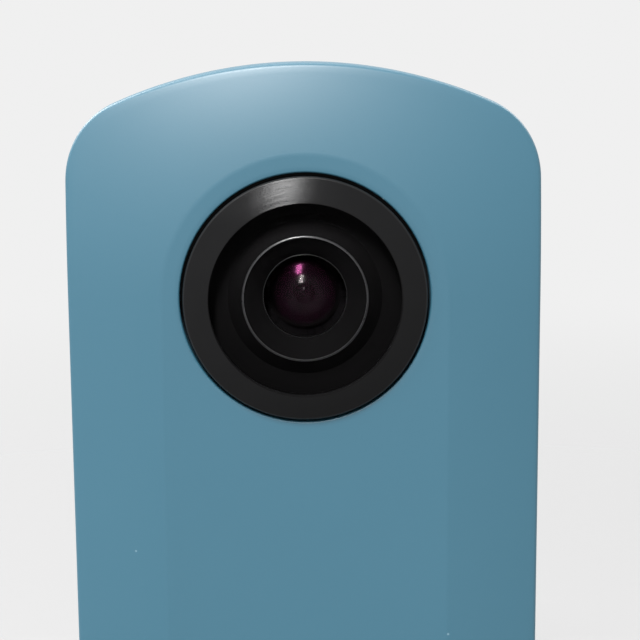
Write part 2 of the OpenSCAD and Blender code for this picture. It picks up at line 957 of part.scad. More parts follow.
module shield_can() {
    color(bare_metal)
        difference() {
            box(
                [-shield_w / 2, board_y0 - shield_h, shield_z0],
                [shield_w / 2, board_y0, shield_z0 + shield_l]
            );
            box(
                [-shield_w / 2 + shield_wall, board_y0 - shield_h + shield_wall, shield_z0 + shield_wall],
                [shield_w / 2 - shield_wall, board_y0 + past, shield_z0 + shield_l - shield_wall]
            );
        }
}

module processor_chip() {
    z = shield_z0 + (shield_l - chip_side) / 2;
    color(dark_frame)
        box([-chip_side / 2, board_y0 - chip_t, z], [chip_side / 2, board_y0, z + chip_side]);
}

// Memory, power and wireless chips
module board_chips() {
    color(dark_frame)
        for (c = small_chips)
            box([c[0], board_y0 - small_chip_t, c[1]], [c[0] + c[2], board_y0, c[1] + c[3]]);
}

module flex_connectors() {
    color(soft_black)
        for (x = [flex_x + flex_t, -flex_x - flex_t - flex_plug_w])
            box(
                [x, board_y0 - flex_plug_h, board_z1 - flex_tail],
                [x + flex_plug_w, board_y0, board_z1 - flex_plug_drop]
            );
}

module status_leds() {
    color(lamp_white)
        for (z = lamps)
            box([-led_w / 2, board_y0 - led_t, z - led_l / 2], [led_w / 2, board_y0, z + led_l / 2]);
}

// Clear pins that carry the lamps' light to the face, on one bar behind the cover
module light_guide() {
    color(lamp_white) {
        box(
            [-guide_w / 2, -flange_top_u, lamps[lamp_count - 1] - guide_end],
            [guide_w / 2, -guide_u, lamp_z + guide_end]
        );
        for (z = lamps)
            translate([0, -guide_u - guide_t / 2, z])
                rotate([90, 0, 0])
                    cylinder(r = lamp_r, h = face_u - guide_u - guide_t / 2);
    }
}

module battery() {
    edge = battery_t / 2;
    color(cell_silver)
        translate([0, chassis_y1 + edge, battery_z])
            linear_extrude(battery_h) {
                square([battery_w - 2 * edge, battery_t], center = true);
                for (side = [-1, 1])
                    translate([side * (battery_w / 2 - edge), 0])
                        intersection() {
                            circle(edge);
                            translate([side > 0 ? 0 : -edge, -edge])
                                square([edge, battery_t]);
                        }
            }
}

// Lead that folds from the battery through the chassis to the main board
module battery_lead() {
    y = chassis_y1 + lead_gap;
    color(flex_amber) {
        box([-lead_w / 2, y, battery_z + battery_h], [lead_w / 2, y + lead_t, lead_z]);
        box([-lead_w / 2, board_y1, lead_z], [lead_w / 2, y + lead_t, lead_z + lead_t]);
    }
}

// Open shell with a contact tongue; its two far corners are cut as on a plug
module socket(x, w, h) {
    depth = socket_z1 - socket_z0;
    tongue_w = w - 2 * (socket_wall + tongue_gap);
    color(bare_metal)
        translate([x, board_y1, socket_z0]) {
            difference() {
                linear_extrude(depth)
                    socket_outline(w, h, 0);
                translate([0, 0, -past])
                    linear_extrude(depth - socket_back + past)
                        socket_outline(w, h, socket_wall);
            }
            box(
                [-tongue_w / 2, (h - tongue_t) / 2, tongue_gap],
                [tongue_w / 2, (h + tongue_t) / 2, depth - socket_back / 2]
            );
        }
}

module socket_outline(w, h, inset) {
    side = w / 2 - inset;
    top = h - inset;
    polygon([
        [-side, inset],
        [side, inset],
        [side, top - socket_cut],
        [side - socket_cut, top],
        [-side + socket_cut, top],
        [-side, top - socket_cut],
    ]);
}

module tripod_bush() {
    color(brass_metal)
        difference() {
            union() {
                cylinder(r = bush_flange_r, h = bush_flange_t);
                cylinder(r = bush_r, h = bush_top);
            }
            translate([0, 0, -past])
                cylinder(r = tripod_r, h = tripod_depth + past);
        }
}

module strap_bar() {
    color(bare_metal)
        translate([strap_x0 - strap_seat + clear, 0, strap_bar_z])
            rotate([0, 90, 0])
                cylinder(r = strap_bar_r, h = strap_x1 - strap_x0 + 2 * strap_seat - 2 * clear);
}

// Sound pieces and aerial
module microphone() {
    color(bare_metal)
        box(
            [-mic_w / 2, chassis_y1, mic_boot_z1 - mic_boot_h - mic_h],
            [mic_w / 2, chassis_y1 + mic_d, mic_boot_z1 - mic_boot_h]
        );
}

module mic_boot() {
    color(soft_black)
        difference() {
            box(
                [-mic_w / 2, chassis_y1 + clear, mic_boot_z1 - mic_boot_h],
                [mic_w / 2, chassis_y1 + mic_d, mic_boot_z1]
            );
            translate([0, mic_y, mic_boot_z1 - mic_boot_h - past])
                cylinder(r = mic_hole_r, h = mic_boot_h + 2 * past);
        }
}

module speaker() {
    color(dark_frame)
        box(
            [speaker_x0, chassis_y1, speaker_z],
            [speaker_x0 + speaker_w, chassis_y1 + speaker_t, speaker_z + speaker_l]
        );
}

module wireless_antenna() {
    color(flex_amber)
        box(
            [-inner_w + clear, chassis_y0 - aerial_gap - aerial_w, aerial_z],
            [-inner_w + clear + aerial_t, chassis_y0 - aerial_gap, aerial_z + aerial_l]
        );
}

// Shutter button, its trim ring and its switch
module on_shutter() {
    translate([0, 0, shutter_z])
        rotate([90, 0, 0])
            children();
}

module shutter_button() {
    top = face_u + shutter_rise;
    color(paint_blue)
        on_shutter()
            difference() {
                union() {
                    translate([0, 0, shutter_flange_u])
                        cylinder(r = shutter_r, h = top - shutter_flange_u);
                    translate([0, 0, shutter_flange_u])
                        cylinder(r = shutter_flange_r, h = shutter_flange_t);
                    translate([0, 0, plunger_u])
                        cylinder(r = plunger_r, h = shutter_flange_u - plunger_u + shutter_flange_t);
                }
                translate([0, 0, top - shutter_dish + shutter_dish_curve])
                    sphere(shutter_dish_curve);
            }
}

module shutter_ring() {
    seat = shutter_flange_r + clear;
    color(bare_metal)
        on_shutter()
            rotate_extrude()
                polygon([
                    [seat, flange_top_u - ring_flange_t],
                    [ring_out + ring_flange_w, flange_top_u - ring_flange_t],
                    [ring_out + ring_flange_w, flange_top_u],
                    [ring_out, flange_top_u],
                    [ring_out, face_u + ring_rise],
                    [ring_in, face_u + ring_rise],
                    [ring_in, flange_top_u],
                    [seat, flange_top_u],
                ]);
}

module shutter_switch() {
    color(dark_frame) {
        box(
            [-switch_side / 2, board_y0 - switch_h, shutter_z - switch_side / 2],
            [switch_side / 2, board_y0, shutter_z + switch_side / 2]
        );
        translate([0, board_y0 - switch_h, shutter_z])
            rotate([90, 0, 0])
                cylinder(r = switch_nub_r, h = switch_nub_h);
    }
}

// Side button, its retaining flange and the nub that meets its switch
module side_button(z) {
    color(paint_blue)
        translate([0, 0, z])
            rotate([90, 0, 90]) {
                translate([0, 0, key_flange_x])
                    linear_extrude(half_w + key_rise - key_flange_x)
                        pill(key_w, key_l);
                translate([0, 0, key_flange_x - key_flange_t])
                    linear_extrude(key_flange_t)
                        pill(key_w + 2 * key_flange, key_l + 2 * key_flange);
                translate([0, 0, key_nub_x])
                    cylinder(r = key_nub_r, h = key_flange_x - key_flange_t - key_nub_x);
            }
}

module side_key_board() {
    color(board_green)
        box(
            [key_board_x0, -key_board_w / 2, keys_z - key_board_l / 2],
            [key_board_x1, key_board_w / 2, keys_z + key_board_l / 2]
        );
}

module side_key_switches() {
    color(bare_metal)
        for (z = keys)
            box(
                [key_board_x1, -key_switch_w / 2, z - key_switch_l / 2],
                [key_board_x1 + key_switch_t, key_switch_w / 2, z + key_switch_l / 2]
            );
}

// Small cross-head screw, its head resting on z = 0 and its shank going down
module screw(l) {
    slot_l = 1.5 * screw_head_r;
    color(bare_metal)
        difference() {
            union() {
                cylinder(r = screw_head_r, h = screw_head_h);
                translate([0, 0, -l])
                    cylinder(r = screw_r, h = l + screw_head_h / 2);
            }
            for (turn = [0, 90])
                rotate([0, 0, turn])
                    translate([-slot_l / 2, -slot_w / 2, screw_head_h / 2])
                        cube([slot_l, slot_w, screw_head_h]);
        }
}

module board_screws() {
    for (x = [-1, 1], z = board_screws_z)
        translate([x * board_screw_x, board_y0, z])
            rotate([90, 0, 0])
                screw(board_t + board_gap + chassis_t - 4 * clear);
}

module chassis_screws() {
    for (x = [-1, 1], z = chassis_screws_z)
        translate([x * chassis_screw_x, chassis_y0, z])
            rotate([90, 0, 0])
                screw(chassis_screw_l - past);
}

module block_screws() {
    for (side = [-1, 1])
        translate([0, chassis_y1 + ear_t, lens_z + side * ear_screw_z])
            rotate([-90, 0, 0])
                screw(ear_t + chassis_t - 4 * clear);
}

module panel_screws() {
    panel_screw_places()
        translate([0, 0, panel_sink])
            rotate([180, 0, 0])
                screw(boss_z0 - panel_sink + panel_screw_l - past);
}

front_cover();
rear_cover();
bottom_panel();
chassis();
lens_bezel();  // front_lens_bezel
lens_dome();  // front_lens_dome
lens_gasket();  // front_lens_gasket
lens_baffle();  // front_lens_baffle
second_lens();  // front_second_lens
lens_barrel();  // front_lens_barrel
to_rear() lens_bezel();  // rear_lens_bezel
to_rear() lens_dome();  // rear_lens_dome
to_rear() lens_gasket();  // rear_lens_gasket
to_rear() lens_baffle();  // rear_lens_baffle
to_rear() second_lens();  // rear_second_lens
to_rear() lens_barrel();  // rear_lens_barrel
optical_block();
prism();  // front_prism
to_rear() prism();  // rear_prism
to_rear() relay_barrel();  // left_relay_barrel
relay_barrel();  // right_relay_barrel
to_rear() relay_lens();  // left_relay_lens
relay_lens();  // right_relay_lens
to_rear() image_sensor();  // left_image_sensor
image_sensor();  // right_image_sensor
to_rear() sensor_board();  // left_sensor_board
sensor_board();  // right_sensor_board
sensor_flex(-1);  // left_sensor_flex
sensor_flex(1);  // right_sensor_flex
main_board();
shield_can();
processor_chip();
board_chips();
flex_connectors();
status_leds();
light_guide();
battery();
battery_lead();
socket(data_x, data_w, data_h);  // data_socket
socket(video_x, video_w, video_h);  // video_socket
tripod_bush();
strap_bar();
microphone();
mic_boot();
speaker();
wireless_antenna();
shutter_button();
shutter_ring();
shutter_switch();
side_button(keys[0]);  // power_button
side_button(keys[1]);  // wireless_button
side_button(keys[2]);  // mode_button
side_key_board();
side_key_switches();
board_screws();
chassis_screws();
block_screws();
panel_screws();
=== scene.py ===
import json
from math import acos, asin, atan, cos, degrees, hypot, pi, radians, sin, sqrt, tan

import bmesh
import bpy
from mathutils import Matrix, Vector


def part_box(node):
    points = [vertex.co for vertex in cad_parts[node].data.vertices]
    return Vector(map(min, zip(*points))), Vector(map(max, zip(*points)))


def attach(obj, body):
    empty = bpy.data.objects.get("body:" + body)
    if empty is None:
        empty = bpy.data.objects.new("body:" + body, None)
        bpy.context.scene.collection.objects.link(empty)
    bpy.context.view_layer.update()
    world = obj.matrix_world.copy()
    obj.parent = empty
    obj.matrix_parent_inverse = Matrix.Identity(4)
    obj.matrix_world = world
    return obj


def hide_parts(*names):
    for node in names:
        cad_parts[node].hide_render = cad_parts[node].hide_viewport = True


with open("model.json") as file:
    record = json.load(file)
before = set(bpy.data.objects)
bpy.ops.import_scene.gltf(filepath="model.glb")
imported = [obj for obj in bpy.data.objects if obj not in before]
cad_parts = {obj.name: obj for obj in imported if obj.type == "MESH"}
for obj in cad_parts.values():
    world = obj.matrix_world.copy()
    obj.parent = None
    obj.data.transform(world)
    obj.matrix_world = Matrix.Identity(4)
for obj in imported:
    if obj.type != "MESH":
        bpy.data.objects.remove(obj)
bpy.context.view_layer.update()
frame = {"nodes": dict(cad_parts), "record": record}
slotOf = {part["node"]: part["material_slot"] for part in frame["record"]["subparts"]}
print("frame loaded:", len(frame["nodes"]), "nodes")

mm = 0.001  # pieces are drawn in millimetres and brought to metres at the end
hair = 1e-4  # spots this close are one spot
sliver = 1e-3  # what joining and cutting leave behind is narrower than this
cutIn, cutOut = 3.0, 1.0  # how far a cut goes into a wall, and out past it
drawSteps = {"turned": 144, "small": 32, "soft": 5, "rim": 4, "pill": 20, "corner": 8, "circle": 40}


def nodeBox(node):  # a CAD node's two corners, in millimetres
    low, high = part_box(node)
    return low / mm, high / mm


# drawing tools

class Pen:  # draws a line of edges in the plane of the face, a across and b up
    def __init__(self, bm, a, b):
        self.bm = bm
        self.tip = bm.verts.new((a, 0, b))
        self.start = self.tip
        self.soft = []

    def to(self, a, b, soft=0):
        self.tip = bmesh.ops.extrude_vert_indiv(self.bm, verts=[self.tip])["verts"][0]
        self.tip.co = (a, 0, b)
        if soft:
            self.soft.append((self.tip, soft))
        return self

    def run(self, a, b, steps):  # straight on in equal steps
        begin = self.tip.co.copy()
        for step in range(steps):
            spot = begin.lerp(Vector((a, 0, b)), (step + 1) / steps)
            self.to(spot.x, spot.z)
        return self

    def turn(self, a, b, angle, steps):  # round a centre, clockwise in degrees
        spun = bmesh.ops.spin(self.bm, geom=[self.tip], cent=(a, 0, b), axis=(0, 1, 0),
                              angle=radians(angle), steps=steps)
        self.tip = spun["geom_last"][0]
        return self

    def close(self):
        self.bm.edges.new((self.tip, self.start))
        return self

    def soften(self):  # rounds the corners that were marked soft
        for vert, size in self.soft:
            bmesh.ops.bevel(self.bm, geom=[vert], offset=size, offset_type="OFFSET", affect="VERTICES",
                            segments=drawSteps["soft"], profile=0.5, material=-1)
        return self


def walk(start):  # the vertices of an open line, in order
    line, last = [start], None
    while True:
        ahead = [edge.other_vert(line[-1]) for edge in line[-1].link_edges]
        ahead = [vert for vert in ahead if vert != last]
        if not ahead:
            return line
        last = line[-1]
        line.append(ahead[0])


def turned(draw, steps=drawSteps["turned"]):  # a profile, turned round the axis out of the face
    bm = bmesh.new()
    draw(bm)
    bmesh.ops.spin(bm, geom=bm.verts[:] + bm.edges[:], cent=(0, 0, 0), axis=(0, 0, 1),
                   angle=2 * pi, steps=steps, use_merge=True)
    bmesh.ops.remove_doubles(bm, verts=bm.verts, dist=hair)
    bmesh.ops.rotate(bm, verts=bm.verts, cent=(0, 0, 0), matrix=Matrix.Rotation(radians(90), 3, "X"))
    return bm


def turnedLine(*spots):  # a turned piece from a closed line of (radius, height, softness)
    def draw(bm):
        pen = Pen(bm, *spots[0][:2])
        for spot in spots[1:]:
            pen.to(*spot)
        pen.close().soften()
    return turned(draw)


def slab(draw, low, high, soft=0, flare=0):  # a closed outline, carried out of the face from low to high
    bm = bmesh.new()
    draw(bm)
    bmesh.ops.translate(bm, verts=bm.verts, vec=(0, -low, 0))
    base = bmesh.ops.contextual_create(bm, geom=bm.edges[:])["faces"]
    raised = bmesh.ops.extrude_face_region(bm, geom=base, use_keep_orig=True)["geom"]
    top = [item for item in raised if isinstance(item, bmesh.types.BMVert)]
    bmesh.ops.translate(bm, verts=top, vec=(0, low - high, 0))
    if flare:
        wide = max(vert.co.x for vert in top)
        tall = max(vert.co.z for vert in top)
        bmesh.ops.scale(bm, verts=top, vec=(1 + flare / wide, 1, 1 + flare / tall))
    if soft:
        rim = [edge for edge in bm.edges if all(abs(vert.co.y + high) < hair for vert in edge.verts)]
        bmesh.ops.bevel(bm, geom=rim, offset=soft, offset_type="OFFSET", affect="EDGES",
                        segments=drawSteps["rim"], profile=0.5, material=-1)
    return bm


def pillOutline(width, length):
    half, steps = (length - width) / 2, drawSteps["pill"]

    def draw(bm):
        pen = Pen(bm, width / 2, -half).to(width / 2, half)
        pen.turn(0, half, -180, steps).to(-width / 2, -half).turn(0, -half, -180, steps)
        bmesh.ops.remove_doubles(bm, verts=bm.verts, dist=hair)
    return draw


def boxOutline(width, height, corner):
    a, b, steps = width / 2, height / 2, drawSteps["corner"]

    def draw(bm):
        pen = Pen(bm, a, corner - b)
        pen.to(a, b - corner).turn(a - corner, b - corner, -90, steps)
        pen.to(corner - a, b).turn(corner - a, b - corner, -90, steps)
        pen.to(-a, corner - b).turn(corner - a, corner - b, -90, steps)
        pen.to(a - corner, -b).turn(a - corner, corner - b, -90, steps)
        bmesh.ops.remove_doubles(bm, verts=bm.verts, dist=hair)
    return draw


def roundOutline(radius, steps=drawSteps["circle"]):
    def draw(bm):
        Pen(bm, radius, 0).turn(0, 0, -360, steps)
        bmesh.ops.remove_doubles(bm, verts=bm.verts, dist=hair)
    return draw


def moved(bm, *turns):  # the same mesh, taken through matrices in order
    for turn in turns:
        bmesh.ops.transform(bm, matrix=turn, verts=bm.verts)
    return bm


def tinted(bm, number):  # every face takes one of the piece's finishes
    for face in bm.faces:
        face.material_index = number
    return bm


def joined(*meshes):
    whole = bmesh.new()
    for bm in meshes:
        bmesh.ops.recalc_face_normals(bm, faces=bm.faces)
        carrier = bpy.data.meshes.new("carrier")
        bm.to_mesh(carrier)
        bm.free()
        whole.from_mesh(carrier)
        bpy.data.meshes.remove(carrier)
    return whole


def shift(x=0, y=0, z=0):
    return Matrix.Translation((x, y, z))


toFront = Matrix.Identity(4)  # the face's out direction, turned to the other sides
toRear = Matrix.Rotation(pi, 4, "Z")
toSide = Matrix.Rotation(pi / 2, 4, "Z")
toLeft = Matrix.Rotation(-pi / 2, 4, "Z")
toFoot = Matrix.Rotation(pi / 2, 4, "X")
toTop = Matrix.Rotation(-pi / 2, 4, "X")


def looseObject(name, bm):
    mesh = bpy.data.meshes.new(name)
    bm.to_mesh(mesh)
    bm.free()
    thing = bpy.data.objects.new(name, mesh)
    bpy.context.scene.collection.objects.link(thing)
    return thing


def worked(piece, tools, operation):  # joins tools to a piece, or cuts them out of it
    for tool in tools:
        bmesh.ops.recalc_face_normals(tool, faces=tool.faces)
        other = looseObject("tool", tool)
        change = piece.modifiers.new("change", "BOOLEAN")
        change.solver, change.operation, change.object = "EXACT", operation, other
        shaped = piece.evaluated_get(bpy.context.evaluated_depsgraph_get())
        solid = bpy.data.meshes.new_from_object(shaped)
        piece.modifiers.clear()
        piece.data = solid
        bpy.data.objects.remove(other)


def addPiece(name, bm, wear, node, body="body", adds=(), cuts=(), sharp=32):
    bmesh.ops.recalc_face_normals(bm, faces=bm.faces)
    piece = looseObject(name, bm)
    worked(piece, adds, "UNION")
    worked(piece, cuts, "DIFFERENCE")
    bm = bmesh.new()
    bm.from_mesh(piece.data)
    if adds or cuts:  # slivers that the joining and cutting left
        bmesh.ops.remove_doubles(bm, verts=bm.verts, dist=sliver)
        bmesh.ops.dissolve_degenerate(bm, edges=bm.edges, dist=hair)
        manySided = [face for face in bm.faces if len(face.verts) > 4]
        bmesh.ops.triangulate(bm, faces=manySided, ngon_method="BEAUTY")
    for face in bm.faces:
        face.smooth = True
    for edge in bm.edges:
        edge.smooth = edge.calc_face_angle(0) < radians(sharp)
    bmesh.ops.scale(bm, verts=bm.verts, vec=(mm, mm, mm))
    bm.to_mesh(piece.data)
    bm.free()
    for key in wear:
        piece.data.materials.append(finishes[key])
    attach(piece, body)
    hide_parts(node)
    return piece


# finishes

class Wire:  # a value on its way through a finish's nodes
    def __init__(self, tree, socket=None):
        self.tree = tree
        self.socket = socket

    def node(self, kind, settings=None, sockets=None, output=0):
        made = self.tree.nodes.new("ShaderNode" + kind)
        for key, value in (settings or {}).items():
            setattr(made, key, value)
        for key, value in (sockets or {}).items():
            if isinstance(value, Wire):
                self.tree.links.new(value.socket, made.inputs[key])
            else:
                made.inputs[key].default_value = value
        return Wire(self.tree, made.outputs[output] if made.outputs else None)

    def math(self, operation, first, second=0.0):
        return self.node("Math", {"operation": operation}, {0: first, 1: second})

    def __add__(self, other):
        return self.math("ADD", self, other)

    def __radd__(self, other):
        return self.math("ADD", other, self)

    def __sub__(self, other):
        return self.math("SUBTRACT", self, other)

    def __rsub__(self, other):
        return self.math("SUBTRACT", other, self)

    def __mul__(self, other):
        return self.math("MULTIPLY", self, other)

    def __rmul__(self, other):
        return self.math("MULTIPLY", other, self)

    def __lt__(self, other):
        return self.math("LESS_THAN", self, other)

    def mixed(self, first, second):  # this value is the share of the second colour
        return self.node("Mix", {"data_type": "RGBA"}, {0: self, 6: first, 7: second}, output=2)

    def spot(self):
        return self.node("TexCoord", output=3)

    def noise(self, scale, detail=2.0, rough=0.5):
        return self.node("TexNoise", None, {"Vector": self.spot(), "Scale": scale,
                                            "Detail": detail, "Roughness": rough})

    def specks(self, scale, size, share):  # small round grains in a share of the cells
        cells = {"Vector": self.spot(), "Scale": scale}
        near = self.node("TexVoronoi", None, cells) < size
        cell = self.node("TexVoronoi", None, cells, output=1)
        return near * (self.node("SeparateColor", None, {0: cell}) < share)

    def axisRing(self, x, z):  # distance from an axis that runs along Y, in metres
        across = self.node("SeparateXYZ", None, {0: self.spot()}) - x
        above = self.node("SeparateXYZ", None, {0: self.spot()}, output=2) - z
        return self.math("SQRT", across * across + above * above)

    def bump(self, height, strength, distance):
        return self.node("Bump", None, {"Height": height, "Strength": strength, "Distance": distance})

    def finish(self, shader):
        self.node("OutputMaterial", None, {"Surface": shader})


def newFinish(name):
    finish = bpy.data.materials.new(name)
    finish.use_nodes = True
    finish.node_tree.nodes.clear()
    finishes[name] = finish
    return Wire(finish.node_tree)


def hue(red, green, blue):
    return (red, green, blue, 1.0)


finishes = {}
noiseMean = 0.5  # the middle of a noise's range
grainNoise, cloudNoise, plainNoise = (3.0, 0.6), (3.0, 0.5), (2.0, 0.6)  # detail and roughness of a noise


def paintFinish(name, dims):  # satin paint: fine grain, slow clouds of shade and a few grains of dust
    wire = newFinish(name)
    grain = wire.noise(dims["grain"], *grainNoise)
    cloud = wire.noise(dims["cloud"], *cloudNoise)
    dust = wire.specks(dims["dustScale"], dims["dustSize"], dims["dustShare"])
    shade = (cloud * dims["cloudShare"] + grain * dims["grainShare"]).mixed(dims["dark"], dims["light"])
    rough = dims["rough"] + (grain - noiseMean) * dims["roughSpread"]
    wire.finish(wire.node("BsdfPrincipled", None, {
        "Base Color": (dust * dims["dustCover"]).mixed(shade, dims["dust"]),
        "Roughness": rough,
        "Specular IOR Level": dims["specular"],
        "Normal": wire.bump(grain, dims["bump"], dims["bumpDepth"])}))


def plasticFinish(name, dims):  # moulded plastic, rubber and boards: mottled, with a fine texture
    dims = {**plainBase, **dims}
    wire = newFinish(name)
    grain = wire.noise(dims["grain"], *plainNoise)
    cloud = wire.noise(dims["cloud"])
    shade = (cloud * dims["cloudShare"] + grain * dims["grainShare"]).mixed(dims["dark"], dims["light"])
    wire.finish(wire.node("BsdfPrincipled", None, {
        "Base Color": shade,
        "Roughness": dims["rough"] + (grain - noiseMean) * dims["roughSpread"],
        "Metallic": dims["metallic"],
        "Specular IOR Level": dims["specular"],
        "Normal": wire.bump(grain, dims["bump"], dims["bumpDepth"])}))


def bezelFinish(name, dims):  # dark turned metal: fine rings round the lens axis
    wire = newFinish(name)
    ring = wire.axisRing(0.0, lensZ * mm)
    groove = wire.node("TexNoise", {"noise_dimensions": "1D"},
                       {"W": ring, "Scale": dims["groove"], "Detail": dims["grooveDetail"]})
    cloud = wire.noise(dims["cloud"], *cloudNoise)
    shade = (groove * dims["grooveShare"] + cloud * dims["cloudShare"]).mixed(dims["dark"], dims["light"])
    wire.finish(wire.node("BsdfPrincipled", None, {
        "Base Color": shade,
        "Roughness": dims["rough"] + (cloud - noiseMean) * dims["roughSpread"],
        "Specular IOR Level": dims["specular"],
        "Normal": wire.bump(groove, dims["bump"], dims["bumpDepth"])}))


def glassFinish(name, dims):  # coated glass: light goes straight through, and a little gleams
    wire = newFinish(name)
    smear = wire.noise(dims["smear"], *cloudNoise)
    dust = wire.specks(dims["dustScale"], dims["dustSize"], dims["dustShare"])
    gleam = wire.node("BsdfGlossy", None, {"Color": dims["gleam"], "Roughness": dims["rough"]})
    clear = wire.node("BsdfTransparent", None, {"Color": dims["clear"]})
    glance = wire.node("Fresnel", None, {"IOR": dims["ior"]})
    slanting = wire.math("MAXIMUM", glance - dims["quelled"], 0.0)  # the coating quells the rest
    share = glance * dims["share"] + slanting * dims["slant"]
    smeared = share * (dims["smearLeast"] + smear * dims["smearSpread"])
    coated = wire.node("MixShader", None, {0: smeared, 1: clear, 2: gleam})
    grain = wire.node("BsdfDiffuse", None, {"Color": dims["dust"]})
    wire.finish(wire.node("MixShader", None, {0: dust * dims["dustCover"], 1: coated, 2: grain}))


def clearFinish(name, dims):  # the uncoated hollow of the dome, which only lets light through
    wire = newFinish(name)
    hazed = wire.node("BsdfTransparent", None, {"Color": dims["haze"]})
    clear = wire.node("BsdfTransparent", None, {"Color": dims["clear"]})
    wire.finish(wire.node("MixShader", None, {0: wire.noise(dims["smear"]), 1: hazed, 2: clear}))


paintDims = {"dark": hue(0.0172, 0.0652, 0.0950), "light": hue(0.0192, 0.0700, 0.1014),
             "rough": 0.44, "roughSpread": 0.08, "specular": 0.5,
             "grain": 5200.0, "grainShare": 0.3, "cloud": 70.0, "cloudShare": 0.7,
             "bump": 0.12, "bumpDepth": 0.00003,
             "dust": hue(0.16, 0.24, 0.28), "dustScale": 300.0, "dustSize": 0.035,
             "dustShare": 0.25, "dustCover": 0.45}
buttonPaintDims = {**paintDims, "rough": 0.46, "dustShare": 0.0}
bezelDims = {"dark": hue(0.0042, 0.0042, 0.0044), "light": hue(0.0058, 0.0058, 0.0060),
             "rough": 0.18, "roughSpread": 0.1, "specular": 0.06, "groove": 20000.0, "grooveDetail": 2.0,
             "grooveShare": 0.4, "cloud": 300.0, "cloudShare": 0.6, "bump": 0.25, "bumpDepth": 0.00003}
glassDims = {"gleam": hue(1, 1, 1), "clear": hue(0.97, 0.97, 0.97), "rough": 0.06, "share": 0.0,
             "ior": 1.5, "quelled": 0.05, "slant": 0.5,
             "smear": 90.0, "smearLeast": 0.9, "smearSpread": 0.2, "dust": hue(0.4, 0.4, 0.4),
             "dustScale": 500.0, "dustSize": 0.05, "dustShare": 0.12, "dustCover": 0.35}
hollowDims = {"haze": hue(0.97, 0.97, 0.97), "clear": hue(1, 1, 1), "smear": 300.0}
innerGlassDims = {**glassDims, "gleam": hue(1.0, 0.22, 0.62), "clear": hue(0.5, 0.49, 0.5), "rough": 0.14,
                  "share": 0.16, "slant": 0.0, "smear": 200.0,
                  "dustScale": 900.0, "dustSize": 0.03, "dustShare": 0.05, "dustCover": 0.2}
glintGlassDims = {**innerGlassDims, "gleam": hue(1, 0.94, 0.9), "share": 0.6}
plainBase = {"roughSpread": 0.16, "metallic": 0.0, "specular": 0.5, "cloud": 120.0, "cloudShare": 0.5,
             "grainShare": 0.5, "bump": 0.2, "bumpDepth": 0.00002}
plainDims = {  # the plainer finishes, and where they differ from plainBase
    "base_plastic": {"dark": hue(0.012, 0.012, 0.013), "light": hue(0.022, 0.022, 0.024), "rough": 0.5,
                     "grain": 4000.0, "bump": 0.4},
    "frame_plastic": {"dark": hue(0.03, 0.03, 0.033), "light": hue(0.05, 0.05, 0.055), "rough": 0.55,
                      "grain": 3000.0},
    "lens_black": {"dark": hue(0.0023, 0.0022, 0.0023), "light": hue(0.0036, 0.0034, 0.0036),
                   "rough": 0.7, "grain": 3000.0, "specular": 0.02, "bump": 0.02},
    "edge_grey": {"dark": hue(0.0042, 0.0042, 0.0044), "light": hue(0.0058, 0.0058, 0.006), "rough": 0.32,
                  "grain": 2500.0, "specular": 0.2, "bump": 0.05},
    # rim_black is a lighter copy of the baffle's black: a painted highlight that makes the outer ridge read
    # bright all round; the glint on its top comes from its gloss
    "rim_black": {"dark": hue(0.011, 0.011, 0.012), "light": hue(0.015, 0.015, 0.016), "rough": 0.3,
                  "grain": 2500.0, "specular": 0.6},
    # cell_black is a black several times lighter than lens_black: painted light that lifts the deep shade on
    # the second lens's edge and stop
    "cell_black": {"dark": hue(0.013, 0.012, 0.013), "light": hue(0.018, 0.017, 0.018), "rough": 0.8,
                   "grain": 2500.0, "specular": 0.05},
    "seal_rubber": {"dark": hue(0.01, 0.01, 0.01), "light": hue(0.018, 0.018, 0.018), "rough": 0.8,
                    "grain": 2500.0},
    "board": {"dark": hue(0.008, 0.055, 0.022), "light": hue(0.012, 0.085, 0.035), "rough": 0.4,
              "grain": 1500.0},
    "flex": {"dark": hue(0.25, 0.11, 0.02), "light": hue(0.36, 0.17, 0.03), "rough": 0.4, "grain": 900.0},
    "chip": {"dark": hue(0.012, 0.012, 0.013), "light": hue(0.022, 0.022, 0.024), "rough": 0.5,
             "grain": 3000.0},
    "sensor": {"dark": hue(0.04, 0.03, 0.08), "light": hue(0.07, 0.05, 0.12), "rough": 0.2,
               "grain": 800.0},
    "cell": {"dark": hue(0.3, 0.31, 0.33), "light": hue(0.4, 0.41, 0.43), "rough": 0.4, "grain": 700.0},
    "steel": {"dark": hue(0.52, 0.52, 0.53), "light": hue(0.66, 0.66, 0.67), "rough": 0.3,
              "grain": 2600.0, "metallic": 1.0, "bump": 0.08},
    "bush_brass": {"dark": hue(0.50, 0.47, 0.40), "light": hue(0.62, 0.58, 0.50), "rough": 0.3,
                   "grain": 2600.0, "metallic": 1.0, "bump": 0.08},
    "aerial_metal": {"dark": hue(0.75, 0.45, 0.3), "light": hue(0.85, 0.53, 0.36), "rough": 0.35,
                     "grain": 1800.0, "metallic": 1.0},
    "lamp": {"dark": hue(0.20, 0.22, 0.23), "light": hue(0.27, 0.29, 0.30), "rough": 0.25,
             "grain": 1200.0},
    "ring_metal": {"dark": hue(0.27, 0.28, 0.29), "light": hue(0.35, 0.36, 0.37), "rough": 0.3,
                   "grain": 3600.0, "metallic": 1.0, "bump": 0.06},
    "contact_gold": {"dark": hue(0.70, 0.50, 0.20), "light": hue(0.82, 0.60, 0.26), "rough": 0.25,
                     "grain": 2000.0, "metallic": 1.0},
}

# the covers: an arched slab in two halves, with a flat band round the lens and falling shoulders

